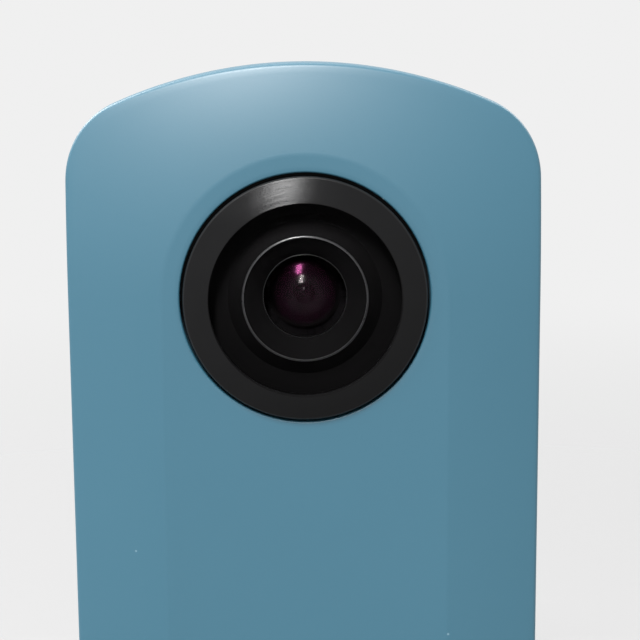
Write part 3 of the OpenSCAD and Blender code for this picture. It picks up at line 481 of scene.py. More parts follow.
coverDims = {"archR": 44.8, "cornerR": 7.9, "footR": 4.0, "bandHalf": 13.35, "shoulderR": 72.0,
             "slope": 7.0, "wall": 1.5, "crown": 0.4, "crownFrom": 4.0, "crownFull": 12.0,
             "archCrown": 0.2, "archBlend": 8.5, "edgeRound": 0.5, "seam": 0.1, "support": 0.22,
             "stripReach": 0.975, "holeRound": 0.2, "holeFlat": 0.4, "largeHole": 2.0}
coverSteps = {"foot": 10, "side": 24, "upper": 6, "corner": 24, "arch": 72, "strip": 14,
              "wall": 4, "round": 6, "hole": 4}
openingDims = {"lensR": 11.65, "shutterR": 7.35, "lampR": 0.7, "keySlot": (2.9, 7.3), "keyFlare": 0.12,
               "panel": (35.0, 10.6, 2.5), "micR": 0.5, "micBack": 1.5, "soundR": 0.45,
               "soundBack": 2.0, "soundRows": (16.0, 18.0, 20.0, 22.0), "lampRows": (50.0, 46.6, 43.2)}

coverLow, coverHigh = nodeBox("front_cover")
domeLow, domeHigh = nodeBox("front_lens_dome")
ringLow, ringHigh = nodeBox("shutter_ring")
halfWidth, bodyTop, faceOut = coverHigh.x, coverHigh.z, -coverLow.y
lensZ = (domeLow.z + domeHigh.z) / 2
shutterZ = (ringLow.z + ringHigh.z) / 2
archZ = bodyTop - coverDims["archR"]
cornerX = halfWidth - coverDims["cornerR"]
cornerReach = coverDims["archR"] - coverDims["cornerR"]
cornerZ = archZ + sqrt(cornerReach ** 2 - cornerX ** 2)
cornerRise = degrees(acos(cornerX / cornerReach))
stripCount, reached = coverSteps["strip"], coverDims["stripReach"]
stripShares = [reached * (step + 1) / stripCount for step in range(stripCount)] + [1.0]
halfSteps = sum(coverSteps[key] for key in ("foot", "side", "upper", "corner"))
archedEnd = 2 * halfSteps + coverSteps["arch"]  # the outline's last spot before the straight foot


def ramp(value, low, high):  # 0 up to low, 1 from high on
    return min(1, max(0, (value - low) / (high - low)))


def faceOutAt(x, z):  # how far out the face stands, flat on the band and falling beyond it
    reach = abs(x) if z < lensZ else hypot(x, z - lensZ)
    if reach <= coverDims["bandHalf"]:
        return faceOut
    tilt = radians(coverDims["slope"])
    lean = sin(tilt) + (reach - coverDims["bandHalf"]) / coverDims["shoulderR"]
    return faceOut - coverDims["shoulderR"] * (cos(tilt) - sqrt(1 - lean * lean))


def drawOutline(bm, inset):
    side, foot, band = halfWidth - inset, coverDims["footR"], coverDims["bandHalf"]
    footX, inner = halfWidth - foot, band - coverDims["support"]
    strip = [footX + (band - footX) * share for share in stripShares]
    pen = Pen(bm, footX, inset).turn(footX, foot, -90, coverSteps["foot"])
    pen.run(side, lensZ, coverSteps["side"]).run(side, cornerZ, coverSteps["upper"])
    pen.turn(cornerX, cornerZ, -cornerRise, coverSteps["corner"])
    pen.turn(0, archZ, 2 * cornerRise - 180, coverSteps["arch"])
    pen.turn(-cornerX, cornerZ, -cornerRise, coverSteps["corner"])
    pen.run(-side, lensZ, coverSteps["upper"]).run(-side, foot, coverSteps["side"])
    pen.turn(-footX, foot, -90, coverSteps["foot"])
    for x in [-x for x in strip] + [-inner, inner] + strip[::-1]:
        pen.to(x, inset)
    line = walk(pen.start)
    pen.close()
    return line


def holeWall(radius, x, z):  # the rounded edge and wall of a hole through the flat band
    soft, flat = coverDims["holeRound"], coverDims["holeFlat"]

    def draw(bm):
        pen = Pen(bm, radius + soft + flat, faceOut).to(radius + soft, faceOut)
        pen.turn(radius + soft, faceOut - soft, -90, coverSteps["hole"])
        pen.to(radius, faceOut - coverDims["wall"])
    steps = drawSteps["turned" if radius > coverDims["largeHole"] else "small"]
    return moved(turned(draw, steps), shift(x=x, z=z))


def coverShell(holes):
    bm = bmesh.new()
    place = bm.verts.layers.int.new("place")
    line = drawOutline(bm, 0)
    outer = [vert.co.copy() for vert in line]
    probe = bmesh.new()
    inner = [vert.co.copy() for vert in drawOutline(probe, 1)]  # one millimetre in
    probe.free()
    for number, vert in enumerate(line):
        vert[place] = number

    def spotAt(number, inset, out=0.0):
        spot = outer[number].lerp(inner[number], inset)
        spot.y = -out
        return spot

    def outAt(number, inset):
        spot = spotAt(number, inset)
        return faceOutAt(spot.x, spot.z)

    def edgeAt(number):  # crown of the side, last angle of the round and the depth where it starts
        height = outer[number].z
        sides = ramp(height, coverDims["crownFrom"], coverDims["crownFull"])
        arched = ramp(height, cornerZ, cornerZ + coverDims["archBlend"])
        eased = arched * arched * (3 - 2 * arched)
        crown = coverDims["crown"] * sides - (coverDims["crown"] - coverDims["archCrown"]) * eased
        last = pi / 2 - atan(outAt(number, 1) - outAt(number, 0))
        inset = crown + coverDims["edgeRound"] * (1 - cos(last))
        return crown, last, outAt(number, inset) - coverDims["edgeRound"] * sin(last)

    edges = [edgeAt(number) for number in range(len(line))]
    seam, wall, size = coverDims["seam"], coverDims["wall"], coverDims["edgeRound"]

    def sideSpot(number, share):
        crown, _, depth = edges[number]
        return spotAt(number, crown * share * share, seam + (depth - seam) * share)

    def roundSpot(number, share):
        crown, last, depth = edges[number]
        return spotAt(number, crown + size * (1 - cos(last * share)), depth + size * sin(last * share))

    def innerSpot(number, share):  # along the rim of the wall, then up inside it
        return spotAt(number, wall, share * (outAt(number, wall) - wall))

    def carry(ring, spotOf, share):  # the next ring, drawn out of the last
        made = bmesh.ops.extrude_edge_only(bm, edges=ring)["geom"]
        verts = {item for item in made if isinstance(item, bmesh.types.BMVert)}
        for vert in verts:
            vert.co = spotOf(vert[place], share)
        return [edge for edge in bm.edges if edge.verts[0] in verts and edge.verts[1] in verts]

    def closeFace(ring, drop):  # shoulders up to the crease, then the edge of the flat band
        chain = [edge for edge in ring if max(vert[place] for vert in edge.verts) <= archedEnd]
        begin = {vert[place]: vert.co.copy() for edge in chain for vert in edge.verts}

        def bandSpot(number, reach):
            x, _, z = begin[number]
            if z < lensZ:
                return Vector((reach if x > 0 else -reach, 0, z))
            grow = reach / hypot(x, z - lensZ)
            return Vector((x * grow, 0, lensZ + (z - lensZ) * grow))

        def shoulderSpot(number, share):
            spot = begin[number].lerp(bandSpot(number, coverDims["bandHalf"]), share)
            spot.y = drop - faceOutAt(spot.x, spot.z)
            return spot

        def plateauSpot(number, reach):
            spot = bandSpot(number, reach)
            spot.y = drop - faceOut
            return spot

        for share in stripShares:
            chain = carry(chain, shoulderSpot, share)
        carry(chain, plateauSpot, coverDims["bandHalf"] - coverDims["support"])

    seamRing = bm.edges[:]
    for vert in line:
        vert.co = spotAt(vert[place], seam)
    ring = seamRing
    for step in range(coverSteps["wall"] + 1):
        ring = carry(ring, sideSpot, step / coverSteps["wall"])
    for step in range(coverSteps["round"]):
        ring = carry(ring, roundSpot, (step + 1) / coverSteps["round"])
    closeFace(ring, 0.0)
    closeFace(carry(carry(seamRing, innerSpot, 0), innerSpot, 1), wall)
    whole = joined(bm, *[holeWall(*hole) for hole in holes])
    bmesh.ops.remove_doubles(whole, verts=whole.verts, dist=sliver)
    for plane in (faceOut, faceOut - coverDims["wall"]):
        rim = [edge for edge in whole.edges if edge.is_boundary
               and all(abs(vert.co.y + plane) < sliver for vert in edge.verts)]
        bmesh.ops.triangle_fill(whole, edges=rim, use_beauty=True)
    return whole


def wallCut(outline, wall, turn, flare=0, **place):  # a tool that goes through the wall of one side
    return moved(slab(outline, wall - cutIn, wall + cutOut, flare=flare), turn, shift(**place))


def keySlots():
    slot = pillOutline(*openingDims["keySlot"])
    rows = [(nodeBox(node)[0].z + nodeBox(node)[1].z) / 2 for node in keyNodes]
    return [wallCut(slot, halfWidth, toSide, openingDims["keyFlare"], z=row) for row in rows]


def panelCut():
    return wallCut(boxOutline(*openingDims["panel"]), 0, toFoot)


def addCovers():
    lensHole = (openingDims["lensR"], 0, lensZ)
    lampHoles = [(openingDims["lampR"], 0, row) for row in openingDims["lampRows"]]
    shutterHole = (openingDims["shutterR"], 0, shutterZ)
    front = coverShell([lensHole, shutterHole] + lampHoles)
    addPiece("cover_front_shell", front, ["body_paint"], "front_cover", cuts=keySlots() + [panelCut()])
    rear = moved(coverShell([lensHole]), toRear)
    mic = wallCut(roundOutline(openingDims["micR"]), bodyTop, toTop, y=openingDims["micBack"])
    sound = roundOutline(openingDims["soundR"])
    sounds = [wallCut(sound, halfWidth, toLeft, y=openingDims["soundBack"], z=row)
              for row in openingDims["soundRows"]]
    addPiece("cover_rear_shell", rear, ["body_paint"], "rear_cover",
             cuts=keySlots() + [panelCut(), mic] + sounds)
    print("covers made")


# the lenses: bezel, dome, baffle and second lens on each face

bezelForm = {"bore": 9.2, "lipR": 8.9, "lipUnder": 9.876, "outerR": 11.35, "rimOut": 9.526,
             "flangeTop": 7.4, "lipSoft": 0.1, "rimSoft": 0.18}
domeForm = {"sag": 1.7, "hollowR": 7.9, "hollowDepth": 3.0, "seatGap": 0.03, "steps": 32}
baffleForm = {"ledgeR": 7.2, "rimR": 5.7, "rimWidth": 0.2, "irisR": 3.9, "irisTop": 7.293,
              "footR": 4.5, "edge": 0.5, "gap": 0.03, "rimRound": 0.8}
secondForm = {"curve": 6.4, "hollowCurve": 3.7, "hollowR": 3.4, "stopT": 0.25, "stopGap": 0.1, "pupilR": 1.0,
              "pupilCurve": 1.2, "steps": 32, "hollowSteps": 24, "pupilSteps": 16}
onEdge, onFront = 0.01, 0.2  # how near its surface a face's middle lies


def capCurve(radius, sag):
    return (radius * radius + sag * sag) / (2 * sag)


def bezelRing(low, high):
    form = bezelForm
    ring = turnedLine((form["bore"], low), (ringOuter, low), (ringOuter, form["flangeTop"]),
                      (form["outerR"], form["flangeTop"]),
                      (form["outerR"], form["rimOut"], form["rimSoft"]),
                      (form["lipR"], high, form["lipSoft"]), (form["lipR"], form["lipUnder"]),
                      (form["bore"], form["lipUnder"]))
    reach = hypot(form["outerR"] - form["lipR"], high - form["rimOut"])
    slope = atan((high - form["rimOut"]) / (form["outerR"] - form["lipR"]))
    for face in ring.faces:  # the cone's rounded outer edge is polished; its inner one wears the lens black, painted shade for a dark line in the gap at the glass
        spot = face.calc_center_median()
        across, out = hypot(spot.x, spot.z), -spot.y
        along = (form["outerR"] - across) * cos(slope) + (out - form["rimOut"]) * sin(slope)
        polished = out > form["rimOut"] - form["rimSoft"] and along < form["rimSoft"]
        face.material_index = 2 if along > reach - form["lipSoft"] else int(polished)
    return ring


def domeGlass(seat, high):
    radius, low = domeHigh.x, seat + domeForm["seatGap"]  # just clear of the seal under it
    cap = capCurve(radius, domeForm["sag"])
    hollow = capCurve(domeForm["hollowR"], domeForm["hollowDepth"])

    def draw(bm):
        top = low + domeForm["hollowDepth"]
        pen = Pen(bm, 0, top)
        pen.turn(0, top - hollow, degrees(asin(domeForm["hollowR"] / hollow)), domeForm["steps"])
        pen.to(radius, low).to(radius, high - domeForm["sag"])
        pen.turn(0, high - cap, -degrees(asin(radius / cap)), domeForm["steps"])
    bm = turned(draw)
    for face in bm.faces:  # coated cap, clear hollow, blackened edge
        spot = face.calc_center_median()
        reach = hypot(spot.x, spot.z)
        front = high - cap + sqrt(cap ** 2 - reach ** 2)
        edge = reach > radius - onEdge or (reach > domeForm["hollowR"] and -spot.y < low + onEdge)
        face.material_index = 2 if edge else int(-spot.y < front - onFront)
    return bm


def ridge(radius, middle, width):  # a thin ring with its outer edge rounded
    low, high = middle - width, middle + width
    return turnedLine((radius + width, low), (radius + width, high, width * baffleForm["rimRound"]),
                      (radius, high), (radius, low))


def baffleCup(low, high):
    form = baffleForm
    wide, rim = nodeBox("front_lens_baffle")[1].x, form["rimR"] + form["rimWidth"]
    ledge = domeLowOut - form["gap"]
    dull = turnedLine((wide, ledge), (form["ledgeR"], ledge), (rim, high - form["rimWidth"] / 2),
                      (form["rimR"] - form["rimWidth"] / 2, high - form["rimWidth"]),
                      (form["irisR"], form["irisTop"]),
                      (form["irisR"], low), (form["footR"], low), (wide, domeLowOut - form["edge"]))
    # the outer ridge wears rim_black, lighter than the baffle's own black: a painted highlight all round the
    # ring, on top of its real gloss
    outer = ridge(form["rimR"], high - form["rimWidth"], form["rimWidth"])
    inner = ridge(form["irisR"], form["irisTop"], form["rimWidth"] / 2)
    return joined(tinted(dull, 0), tinted(outer, 1), tinted(inner, 2))


def secondGlass(low, high):  # a hollowed lens, and the small lens and stop that lie in its hollow
    form, radius = secondForm, nodeBox("front_second_lens")[1].x
    curve, hollow, pupil = form["curve"], form["hollowCurve"], form["pupilCurve"]
    hollowTop = low + hollow - sqrt(hollow ** 2 - form["hollowR"] ** 2)
    pupilTop = low + form["stopT"] + pupil - sqrt(pupil ** 2 - form["pupilR"] ** 2)

    def lens(bm):
        pen = Pen(bm, 0, hollowTop)
        pen.turn(0, hollowTop - hollow, degrees(asin(form["hollowR"] / hollow)), form["hollowSteps"])
        pen.to(radius, low).to(radius, high - curve + sqrt(curve ** 2 - radius ** 2))
        pen.turn(0, high - curve, -degrees(asin(radius / curve)), form["steps"])

    def stop(bm):
        wide = form["hollowR"] - form["stopGap"]
        pen = Pen(bm, 0, low).to(wide, low).to(wide, low + form["stopT"])
        pen.to(form["pupilR"], low + form["stopT"])
        pen.turn(0, pupilTop - pupil, -degrees(asin(form["pupilR"] / pupil)), form["pupilSteps"])

    glass, seat = turned(lens), turned(stop)
    for face in glass.faces:  # coated front, plain hollow, and an edge in cell_black, a lightened black that paints light into its deep shade
        spot = face.calc_center_median()
        reach, out = hypot(spot.x, spot.z), -spot.y
        front = high - curve + sqrt(curve ** 2 - reach ** 2) if reach < curve else low
        edge = reach > radius - onEdge or (reach > form["hollowR"] and out < low + onEdge)
        face.material_index = 2 if edge else int(out < front - onFront)
    # the stop's flat wears cell_black too: painted light in the deep shade round the small lens
    for face in seat.faces:
        spot = face.calc_center_median()
        face.material_index = 1 if -spot.y > low + form["stopT"] + onEdge else 2
    return joined(glass, seat)


bezelHigh = nodeBox("front_lens_bezel")[1]
ringOuter, bezelLowOut = bezelHigh.x, -bezelHigh.y
domeLowOut = -domeHigh.y


def addLenses():
    stack = (("_lens_bezel", bezelRing, "bezel_ring", ["bezel_grey", "edge_grey", "lens_black"]),
             ("_lens_dome", domeGlass, "dome_glass", ["lens_glass", "clear_glass", "lens_black"]),
             ("_lens_baffle", baffleCup, "baffle_cup", ["lens_black", "rim_black", "edge_grey"]),
             ("_second_lens", secondGlass, "second_glass", ["inner_glass", "glint_glass", "cell_black"]))
    for end, turn in (("front", toFront), ("rear", toRear)):
        for node, make, name, wear in stack:
            low, high = nodeBox("front" + node)
            made = moved(make(-high.y, -low.y), turn, shift(z=lensZ))
            addPiece(end + "_" + name, made, wear, end + node)
    print("lenses made")


# buttons, trim ring and status lights

keyNodes = ("power_button", "wireless_button", "mode_button")
shutterForm = {"radius": 6.0, "dish": 0.3, "soft": 0.22, "flangeT": 0.8, "flangeDrop": 0.9, "plungerR": 2.0,
               "softSteps": 6, "dishSteps": 16}
ringForm = {"inner": 6.15, "outer": 7.3, "flangeTop": 7.4, "soft": 0.12, "seatGap": 0.05}
keyForm = {"width": 2.6, "length": 7.0, "soft": 0.3, "flange": 0.6, "flangeT": 0.8, "flangeSoft": 0.1}
guideForm = {"lampR": 0.6, "dome": 0.12, "domeSteps": 8, "backOut": 6.3, "plateOut": 7.4, "corner": 0.4,
             "root": 0.2}


def shutterCap(low, high):
    form, flange = shutterForm, nodeBox("shutter_button")[1].x
    radius, soft = form["radius"], form["soft"]
    dish = capCurve(radius - soft, form["dish"])
    base = bezelLowOut - form["flangeDrop"]

    def draw(bm):
        pen = Pen(bm, 0, low).to(form["plungerR"], low).to(form["plungerR"], base).to(flange, base)
        pen.to(flange, base + form["flangeT"]).to(radius, base + form["flangeT"])
        pen.to(radius, high - soft).turn(radius - soft, high - soft, -90, form["softSteps"])
        pen.turn(0, high - form["dish"] + dish, degrees(asin((radius - soft) / dish)), form["dishSteps"])
    return turned(draw)


def trimRing():
    form, low, high = ringForm, -ringHigh.y, -ringLow.y
    seat = nodeBox("shutter_button")[1].x + form["seatGap"]
    return turnedLine((seat, low), (ringHigh.x, low), (ringHigh.x, form["flangeTop"]),
                      (form["outer"], form["flangeTop"]), (form["outer"], high, form["soft"]),
                      (form["inner"], high, form["soft"]), (form["inner"], form["flangeTop"]),
                      (seat, form["flangeTop"]))


def keyCap(low, high):
    form = keyForm
    width, length, spread, thick = form["width"], form["length"], 2 * form["flange"], form["flangeT"]
    cap = slab(pillOutline(width, length), low + thick, high, soft=form["soft"])
    flange = slab(pillOutline(width + spread, length + spread), low + thick, low + 2 * thick,
                  soft=form["flangeSoft"])
    return joined(cap, flange)


def lightGuide(low, high):
    form = guideForm
    outline = boxOutline(high.x - low.x, high.z - low.z, form["corner"])
    plate = slab(outline, form["backOut"], form["plateOut"])

    def lampPin(bm):
        radius, root = form["lampR"], form["plateOut"] - form["root"]
        curve = capCurve(radius, form["dome"])
        pen = Pen(bm, 0, root).to(radius, root).to(radius, faceOut - form["dome"])
        pen.turn(0, faceOut - curve, -degrees(asin(radius / curve)), form["domeSteps"])
    pins = [moved(turned(lampPin, drawSteps["small"]), shift(z=row)) for row in openingDims["lampRows"]]
    return joined(moved(plate, shift(z=(low.z + high.z) / 2)), *pins)


def addControls():
    low, high = nodeBox("shutter_button")
    addPiece("shutter_cap", moved(shutterCap(-high.y, -low.y), shift(z=shutterZ)), ["button_paint"],
             "shutter_button", body="shutter")
    addPiece("shutter_trim_ring", moved(trimRing(), shift(z=shutterZ)), ["ring_metal"], "shutter_ring")
    for node in keyNodes:
        low, high = nodeBox(node)
        cap = moved(keyCap(low.x, high.x), toSide, shift(z=(low.z + high.z) / 2))
        addPiece(node.replace("_button", "_key_cap"), cap, ["button_paint"], node,
                 body=node.replace("_button", ""))
    addPiece("status_light_guide", lightGuide(*nodeBox("light_guide")), ["lamp"], "light_guide")
    print("buttons, ring and lights made")


# the base: panel, sockets, tripod bush, strap bar and screws

baseForm = {"panel": (34.8, 10.4, 2.5), "panelTop": 2.3, "soft": 0.25, "flange": 0.9, "flangeZ": (1.5, 2.5),
            "bushHole": 5.0, "holeSteps": 64, "windowGap": 0.2, "windowCorner": 0.3,
            "pocket": (15.4, 2.2, 4.4), "pocketLow": 2.0, "pocketTop": 4.2, "pocketWall": 0.8,
            "pocketCorner": 0.5, "barHole": (13.7, 17.1, 0.6), "barSoft": 0.1, "sinkR": 1.4, "sink": 0.9,
            "passR": 0.9, "chamfer": 0.1, "chamferSteps": 2, "chamferAngle": 50.0}
socketForm = {"corner": 0.55, "cornerSoft": 0.2, "wall": 0.3, "back": 0.8, "lip": 0.07, "lipSteps": 3,
              "lipAngle": 1.0, "tongueGap": 0.6, "tongueT": 0.7, "tongueLow": 1.3, "tongueRoot": 0.4,
              "tongueCorner": 0.1, "tongueSoft": 0.12, "pinLow": 1.6, "pinRoot": 0.5, "pinSize": (0.32, 0.1),
              "pinCorner": 0.02, "pins": {"data_socket": 5, "video_socket": 7}}
bushForm = {"mouth": 3.5, "bore": 3.2, "depth": 6.5, "flangeT": 0.9, "bodyR": 4.0, "soft": 0.15,
            "pitch": 1.27, "crest": 2.65, "crestWidth": 0.2, "rootWidth": 1.1, "rootSink": 0.1,
            "firstZ": 0.5, "turns": 3.5, "turnSteps": 24}
screwForm = {"places": ((-6.0, 3.4), (6.0, -3.4)), "headR": 1.3, "dome": 0.25, "domeSteps": 10, "steps": 48,
             "shankR": 0.65, "slot": (1.95, 0.35), "slotDepths": (0.4, 0.43), "slotCorner": 0.02}


def footBlock(x, y, width, depth, corner, low, high, soft=0.0):  # a block on the base, between two heights
    return moved(slab(boxOutline(width, depth, corner), -high, -low, soft), toFoot, shift(x=x, y=y))


def footRound(x, y, radius, low, high):
    return moved(slab(roundOutline(radius, baseForm["holeSteps"]), -high, -low), toFoot, shift(x=x, y=y))


def addPanel():
    form = baseForm
    width, depth, corner = form["panel"]
    flange, wall, gap = form["flange"], form["pocketWall"], form["windowGap"]
    pocketX, pocketW, pocketD = form["pocket"]
    pocketTop, window = form["pocketTop"], form["windowCorner"]
    rim = footBlock(0, 0, width + 2 * flange, depth + 2 * flange, corner + flange, *form["flangeZ"])
    box = footBlock(pocketX, 0, pocketW + 2 * wall, pocketD + 2 * wall, form["pocketCorner"],
                    form["pocketLow"], pocketTop + wall)
    cuts = [footRound(0, 0, form["bushHole"], -cutOut, cutIn),
            footBlock(pocketX, 0, pocketW, pocketD, window, -cutOut, pocketTop)]
    for node in socketForm["pins"]:
        low, high = nodeBox(node)
        middle, size = (low + high) / 2, high - low
        wide, deep = size.x + 2 * gap, size.y + 2 * gap
        cuts.append(footBlock(middle.x, middle.y, wide, deep, window, -cutOut, cutIn))
    for x, y in screwForm["places"]:
        cuts.append(footRound(x, y, form["sinkR"], -cutOut, form["sink"]))
        cuts.append(footRound(x, y, form["passR"], -cutOut, cutIn))
    begin, end, radius = form["barHole"]
    barLow, barHigh = nodeBox("strap_bar")
    barZ = (barLow.z + barHigh.z) / 2
    cuts.append(moved(slab(roundOutline(radius), begin, end), toSide, shift(z=barZ)))
    panel = addPiece("base_plate", footBlock(0, 0, width, depth, corner, 0, form["panelTop"], form["soft"]),
                     ["base_plastic"], "bottom_panel", adds=[rim, box], cuts=cuts)
    edge = panel.modifiers.new("edge", "BEVEL")
    edge.width = form["chamfer"] * mm
    edge.segments = form["chamferSteps"]
    edge.limit_method = "ANGLE"
    edge.angle_limit = radians(form["chamferAngle"])
    bar = slab(roundOutline(barHigh.z - barZ), barLow.x, barHigh.x, soft=form["barSoft"])
    addPiece("strap_cross_bar", moved(bar, toSide, shift(z=barZ)), ["steel"], "strap_bar")


def socketOutline(width, height, corner):  # two corners are cut off, so that a plug fits one way round
    a, b, soft = width / 2, height / 2, socketForm["cornerSoft"]

    def draw(bm):
        pen = Pen(bm, -a, b).to(-a, corner - b, soft).to(corner - a, -b, soft).to(a - corner, -b, soft)
        pen.to(a, corner - b, soft).to(a, b, soft).close().soften()
    return draw


def addSocket(node, pins):
    form = socketForm
    low, high = nodeBox(node)
    middle, width, height = (low + high) / 2, high.x - low.x, high.y - low.y
    shell = slab(socketOutline(width, height, form["corner"]), -high.z, -low.z)
    mouth = [face for face in shell.faces if all(abs(vert.co.y - low.z) < hair for vert in face.verts)]
    bmesh.ops.inset_region(shell, faces=mouth, thickness=form["wall"])
    sunk = bmesh.ops.extrude_face_region(shell, geom=mouth)["geom"]
    bmesh.ops.delete(shell, geom=mouth, context="FACES_ONLY")
    inside = [item for item in sunk if isinstance(item, bmesh.types.BMVert)]
    bmesh.ops.translate(shell, verts=inside, vec=(0, high.z - low.z - form["back"], 0))
    rim = [edge for edge in shell.edges if all(abs(vert.co.y - low.z) < hair for vert in edge.verts)
           and edge.calc_face_angle(0) > form["lipAngle"]]
    bmesh.ops.bevel(shell, geom=rim, offset=form["lip"], offset_type="OFFSET", affect="EDGES",
                    segments=form["lipSteps"], profile=0.5, material=-1)
    tongueW = width - 2 * (form["wall"] + form["tongueGap"])
    tongue = slab(boxOutline(tongueW, form["tongueT"], form["tongueCorner"]), -high.z + form["tongueRoot"],
                  -form["tongueLow"], soft=form["tongueSoft"])
    pin, strips = boxOutline(*form["pinSize"], form["pinCorner"]), []
    for number in range(pins):
        strip = slab(pin, -high.z + form["pinRoot"], -form["pinLow"])
        across = (number - (pins - 1) / 2) * tongueW / pins
        strips.append(tinted(moved(strip, shift(x=across, z=form["tongueT"] / 2)), 2))
    whole = joined(tinted(shell, 0), tinted(tongue, 1), *strips)
    addPiece(node + "_shell", moved(whole, toFoot, shift(x=middle.x, y=middle.y)),
             ["steel", "base_plastic", "contact_gold"], node)


def threadRidge():  # one ridge that winds up the bore
    form = bushForm
    bm = bmesh.new()
    low, half, crest = form["firstZ"], form["rootWidth"] / 2, form["crestWidth"] / 2
    root = form["bore"] + form["rootSink"]
    pen = Pen(bm, root, low).to(form["crest"], low + half - crest).to(form["crest"], low + half + crest)
    pen.to(root, low + 2 * half).close()
    start = bm.edges[:]
    spun = bmesh.ops.spin(bm, geom=bm.verts[:] + start, cent=(0, 0, 0), axis=(0, 0, 1),
                          dvec=(0, 0, form["pitch"] / form["turnSteps"]), angle=2 * pi * form["turns"],
                          steps=int(form["turns"] * form["turnSteps"]))
    last = [item for item in spun["geom_last"] if isinstance(item, bmesh.types.BMEdge)]
    for ring in (start, last):
        bmesh.ops.contextual_create(bm, geom=ring)
    return bm


def addBush():
    form, high = bushForm, nodeBox("tripod_bush")[1]

    def draw(bm):
        pen = Pen(bm, 0, -form["depth"]).to(form["bore"], -form["depth"])
        pen.to(form["bore"], form["bore"] - form["mouth"]).to(form["mouth"], 0).to(high.x, 0, form["soft"])
        pen.to(high.x, -form["flangeT"]).to(form["bodyR"], -form["flangeT"])
        pen.to(form["bodyR"], -high.z).to(0, -high.z).soften()
    bush = joined(moved(turned(draw), toFoot), threadRidge())
    addPiece("tripod_thread_bush", bush, ["bush_brass"], "tripod_bush")


def addScrews():
    form, panel = screwForm, baseForm
    low, high = nodeBox("panel_screws")

    def draw(bm):
        curve = capCurve(form["headR"], form["dome"])
        pen = Pen(bm, 0, -low.z)
        pen.turn(0, -low.z - curve, degrees(asin(form["headR"] / curve)), form["domeSteps"])
        pen.to(form["headR"], -panel["sink"]).to(form["shankR"], -panel["sink"]).to(form["shankR"], -high.z)
        pen.to(0, -high.z)
    screws = [moved(turned(draw, form["steps"]), toFoot, shift(x=x, y=y)) for x, y in form["places"]]
    cross = list(zip((form["slot"], form["slot"][::-1]), form["slotDepths"]))
    slots = [footBlock(x, y, *size, form["slotCorner"], -cutOut, low.z + depth)
             for x, y in form["places"] for size, depth in cross]
    addPiece("base_screw_pair", joined(*screws), ["steel"], "panel_screws", cuts=slots)


def addBase():
    addPanel()
    for node, pins in socketForm["pins"].items():
        addSocket(node, pins)
    addBush()
    addScrews()
    print("base made")


# finishes of the CAD pieces that show as they are

def dressNodes():
    for node, thing in frame["nodes"].items():
        thing.data.materials.clear()
        thing.data.materials.append(finishes[slotOf[node]])


paintFinish("body_paint", paintDims)
paintFinish("button_paint", buttonPaintDims)
bezelFinish("bezel_grey", bezelDims)
glassFinish("lens_glass", glassDims)
clearFinish("clear_glass", hollowDims)
glassFinish("inner_glass", innerGlassDims)
glassFinish("glint_glass", glintGlassDims)
for finishName, dims in plainDims.items():
    plasticFinish(finishName, dims)
print("finishes made:", len(finishes))

dressNodes()
addCovers()
addLenses()
addControls()
addBase()

# stage: pale floor, soft light and the camera

cameraForm = {"lens": 86.514, "sensor": 36.0, "clip": (0.01, 20.0), "yaw": 1.185, "pitch": 8.982,
              "roll": -0.399, "place": (-1.568, -150.049, 129.096)}
lightForms = (  # name, azimuth, elevation, strength at the object, width and height in degrees
    ("key_box", -12, 45, 8.5, 8.5, 27), ("left_sheet", -65, 12, 2.07, 50, 40),
    ("high_sheet", -60, 55, 0.95, 50, 50), ("top_back_box", -170, 62, 1.2, 40, 30),
    ("back_left_box", -125, 38, 4.5, 30, 30), ("back_right_box", 128, 38, 2.2, 30, 30))
matteLight = "left_sheet"  # a scrim that lights the paint and leaves no glint
lightDistance = 1.5
stageForm = {"white": 0.87, "floor": hue(0.2, 0.2, 0.2), "radius": 0.8, "solid": 0.12, "faded": 0.76,
             "segments": 96}


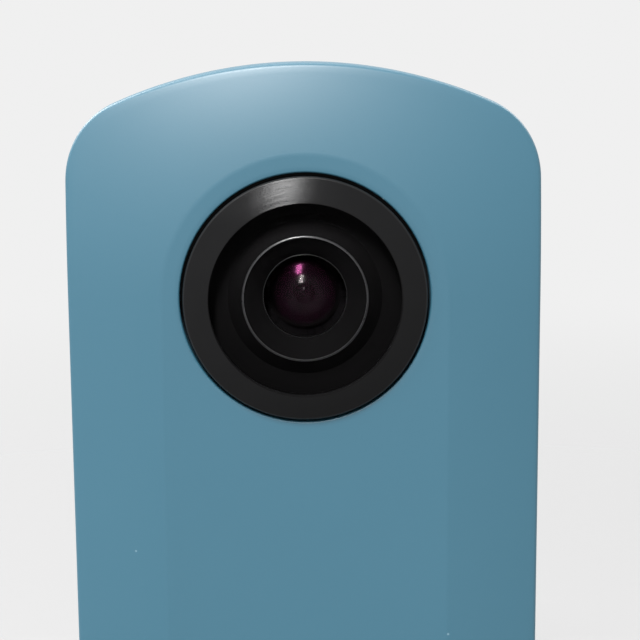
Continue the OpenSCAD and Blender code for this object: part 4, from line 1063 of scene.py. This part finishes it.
def addCamera():
    yaw, pitch, roll = (radians(cameraForm[key]) for key in ("yaw", "pitch", "roll"))
    ahead = Vector((sin(yaw) * cos(pitch), cos(yaw) * cos(pitch), -sin(pitch)))
    right = Vector((cos(yaw), -sin(yaw), 0))
    up = right.cross(ahead)
    across, above = right * cos(roll) + up * sin(roll), up * cos(roll) - right * sin(roll)
    data = bpy.data.cameras.new("camera")
    data.lens, data.sensor_width = cameraForm["lens"], cameraForm["sensor"]
    data.clip_start, data.clip_end = cameraForm["clip"]
    camera = bpy.data.objects.new("camera", data)
    turn = Matrix((across, above, -ahead)).transposed().to_4x4()
    camera.matrix_world = Matrix.Translation(Vector(cameraForm["place"]) * mm) @ turn
    bpy.context.scene.collection.objects.link(camera)
    bpy.context.scene.camera = camera


def addLights():
    target = Vector((0, 0, lensZ * mm))
    for name, azimuth, elevation, strength, width, height in lightForms:
        data = bpy.data.lights.new(name, "AREA")
        data.shape = "RECTANGLE"
        data.size = 2 * lightDistance * tan(radians(width / 2))
        data.size_y = 2 * lightDistance * tan(radians(height / 2))
        data.energy = strength * pi * lightDistance ** 2
        light = bpy.data.objects.new(name, data)
        side, rise = radians(azimuth), radians(elevation)
        back = Vector((sin(side) * cos(rise), -cos(side) * cos(rise), sin(rise)))
        light.location = target + back * lightDistance
        light.rotation_mode = "QUATERNION"
        light.rotation_quaternion = (-back).to_track_quat("-Z", "Y")
        light.visible_glossy = name != matteLight
        bpy.context.scene.collection.objects.link(light)


def addWorld():
    world = bpy.data.worlds.new("studio")
    world.use_nodes = True
    white = stageForm["white"]
    world.node_tree.nodes["Background"].inputs["Color"].default_value = hue(white, white, white)
    bpy.context.scene.world = world
    bpy.context.scene.view_settings.view_transform = "Standard"


def addFloor():
    bm = bmesh.new()
    bmesh.ops.create_circle(bm, cap_ends=True, segments=stageForm["segments"], radius=stageForm["radius"])
    floor = looseObject("floor", bm)
    wire = newFinish("pale_floor")
    x = wire.node("SeparateXYZ", None, {0: wire.spot()})
    y = wire.node("SeparateXYZ", None, {0: wire.spot()}, output=1)
    reach = wire.math("SQRT", x * x + y * y)
    fade = wire.node("MapRange", {"interpolation_type": "SMOOTHSTEP"},
                     {0: reach, 1: stageForm["solid"], 2: stageForm["faded"]})
    solid = wire.node("BsdfDiffuse", None, {"Color": stageForm["floor"]})
    wire.finish(wire.node("MixShader", None, {0: fade, 1: solid, 2: wire.node("BsdfTransparent")}))
    floor.data.materials.append(finishes["pale_floor"])


addCamera()
addLights()
addWorld()
addFloor()
print("stage set")
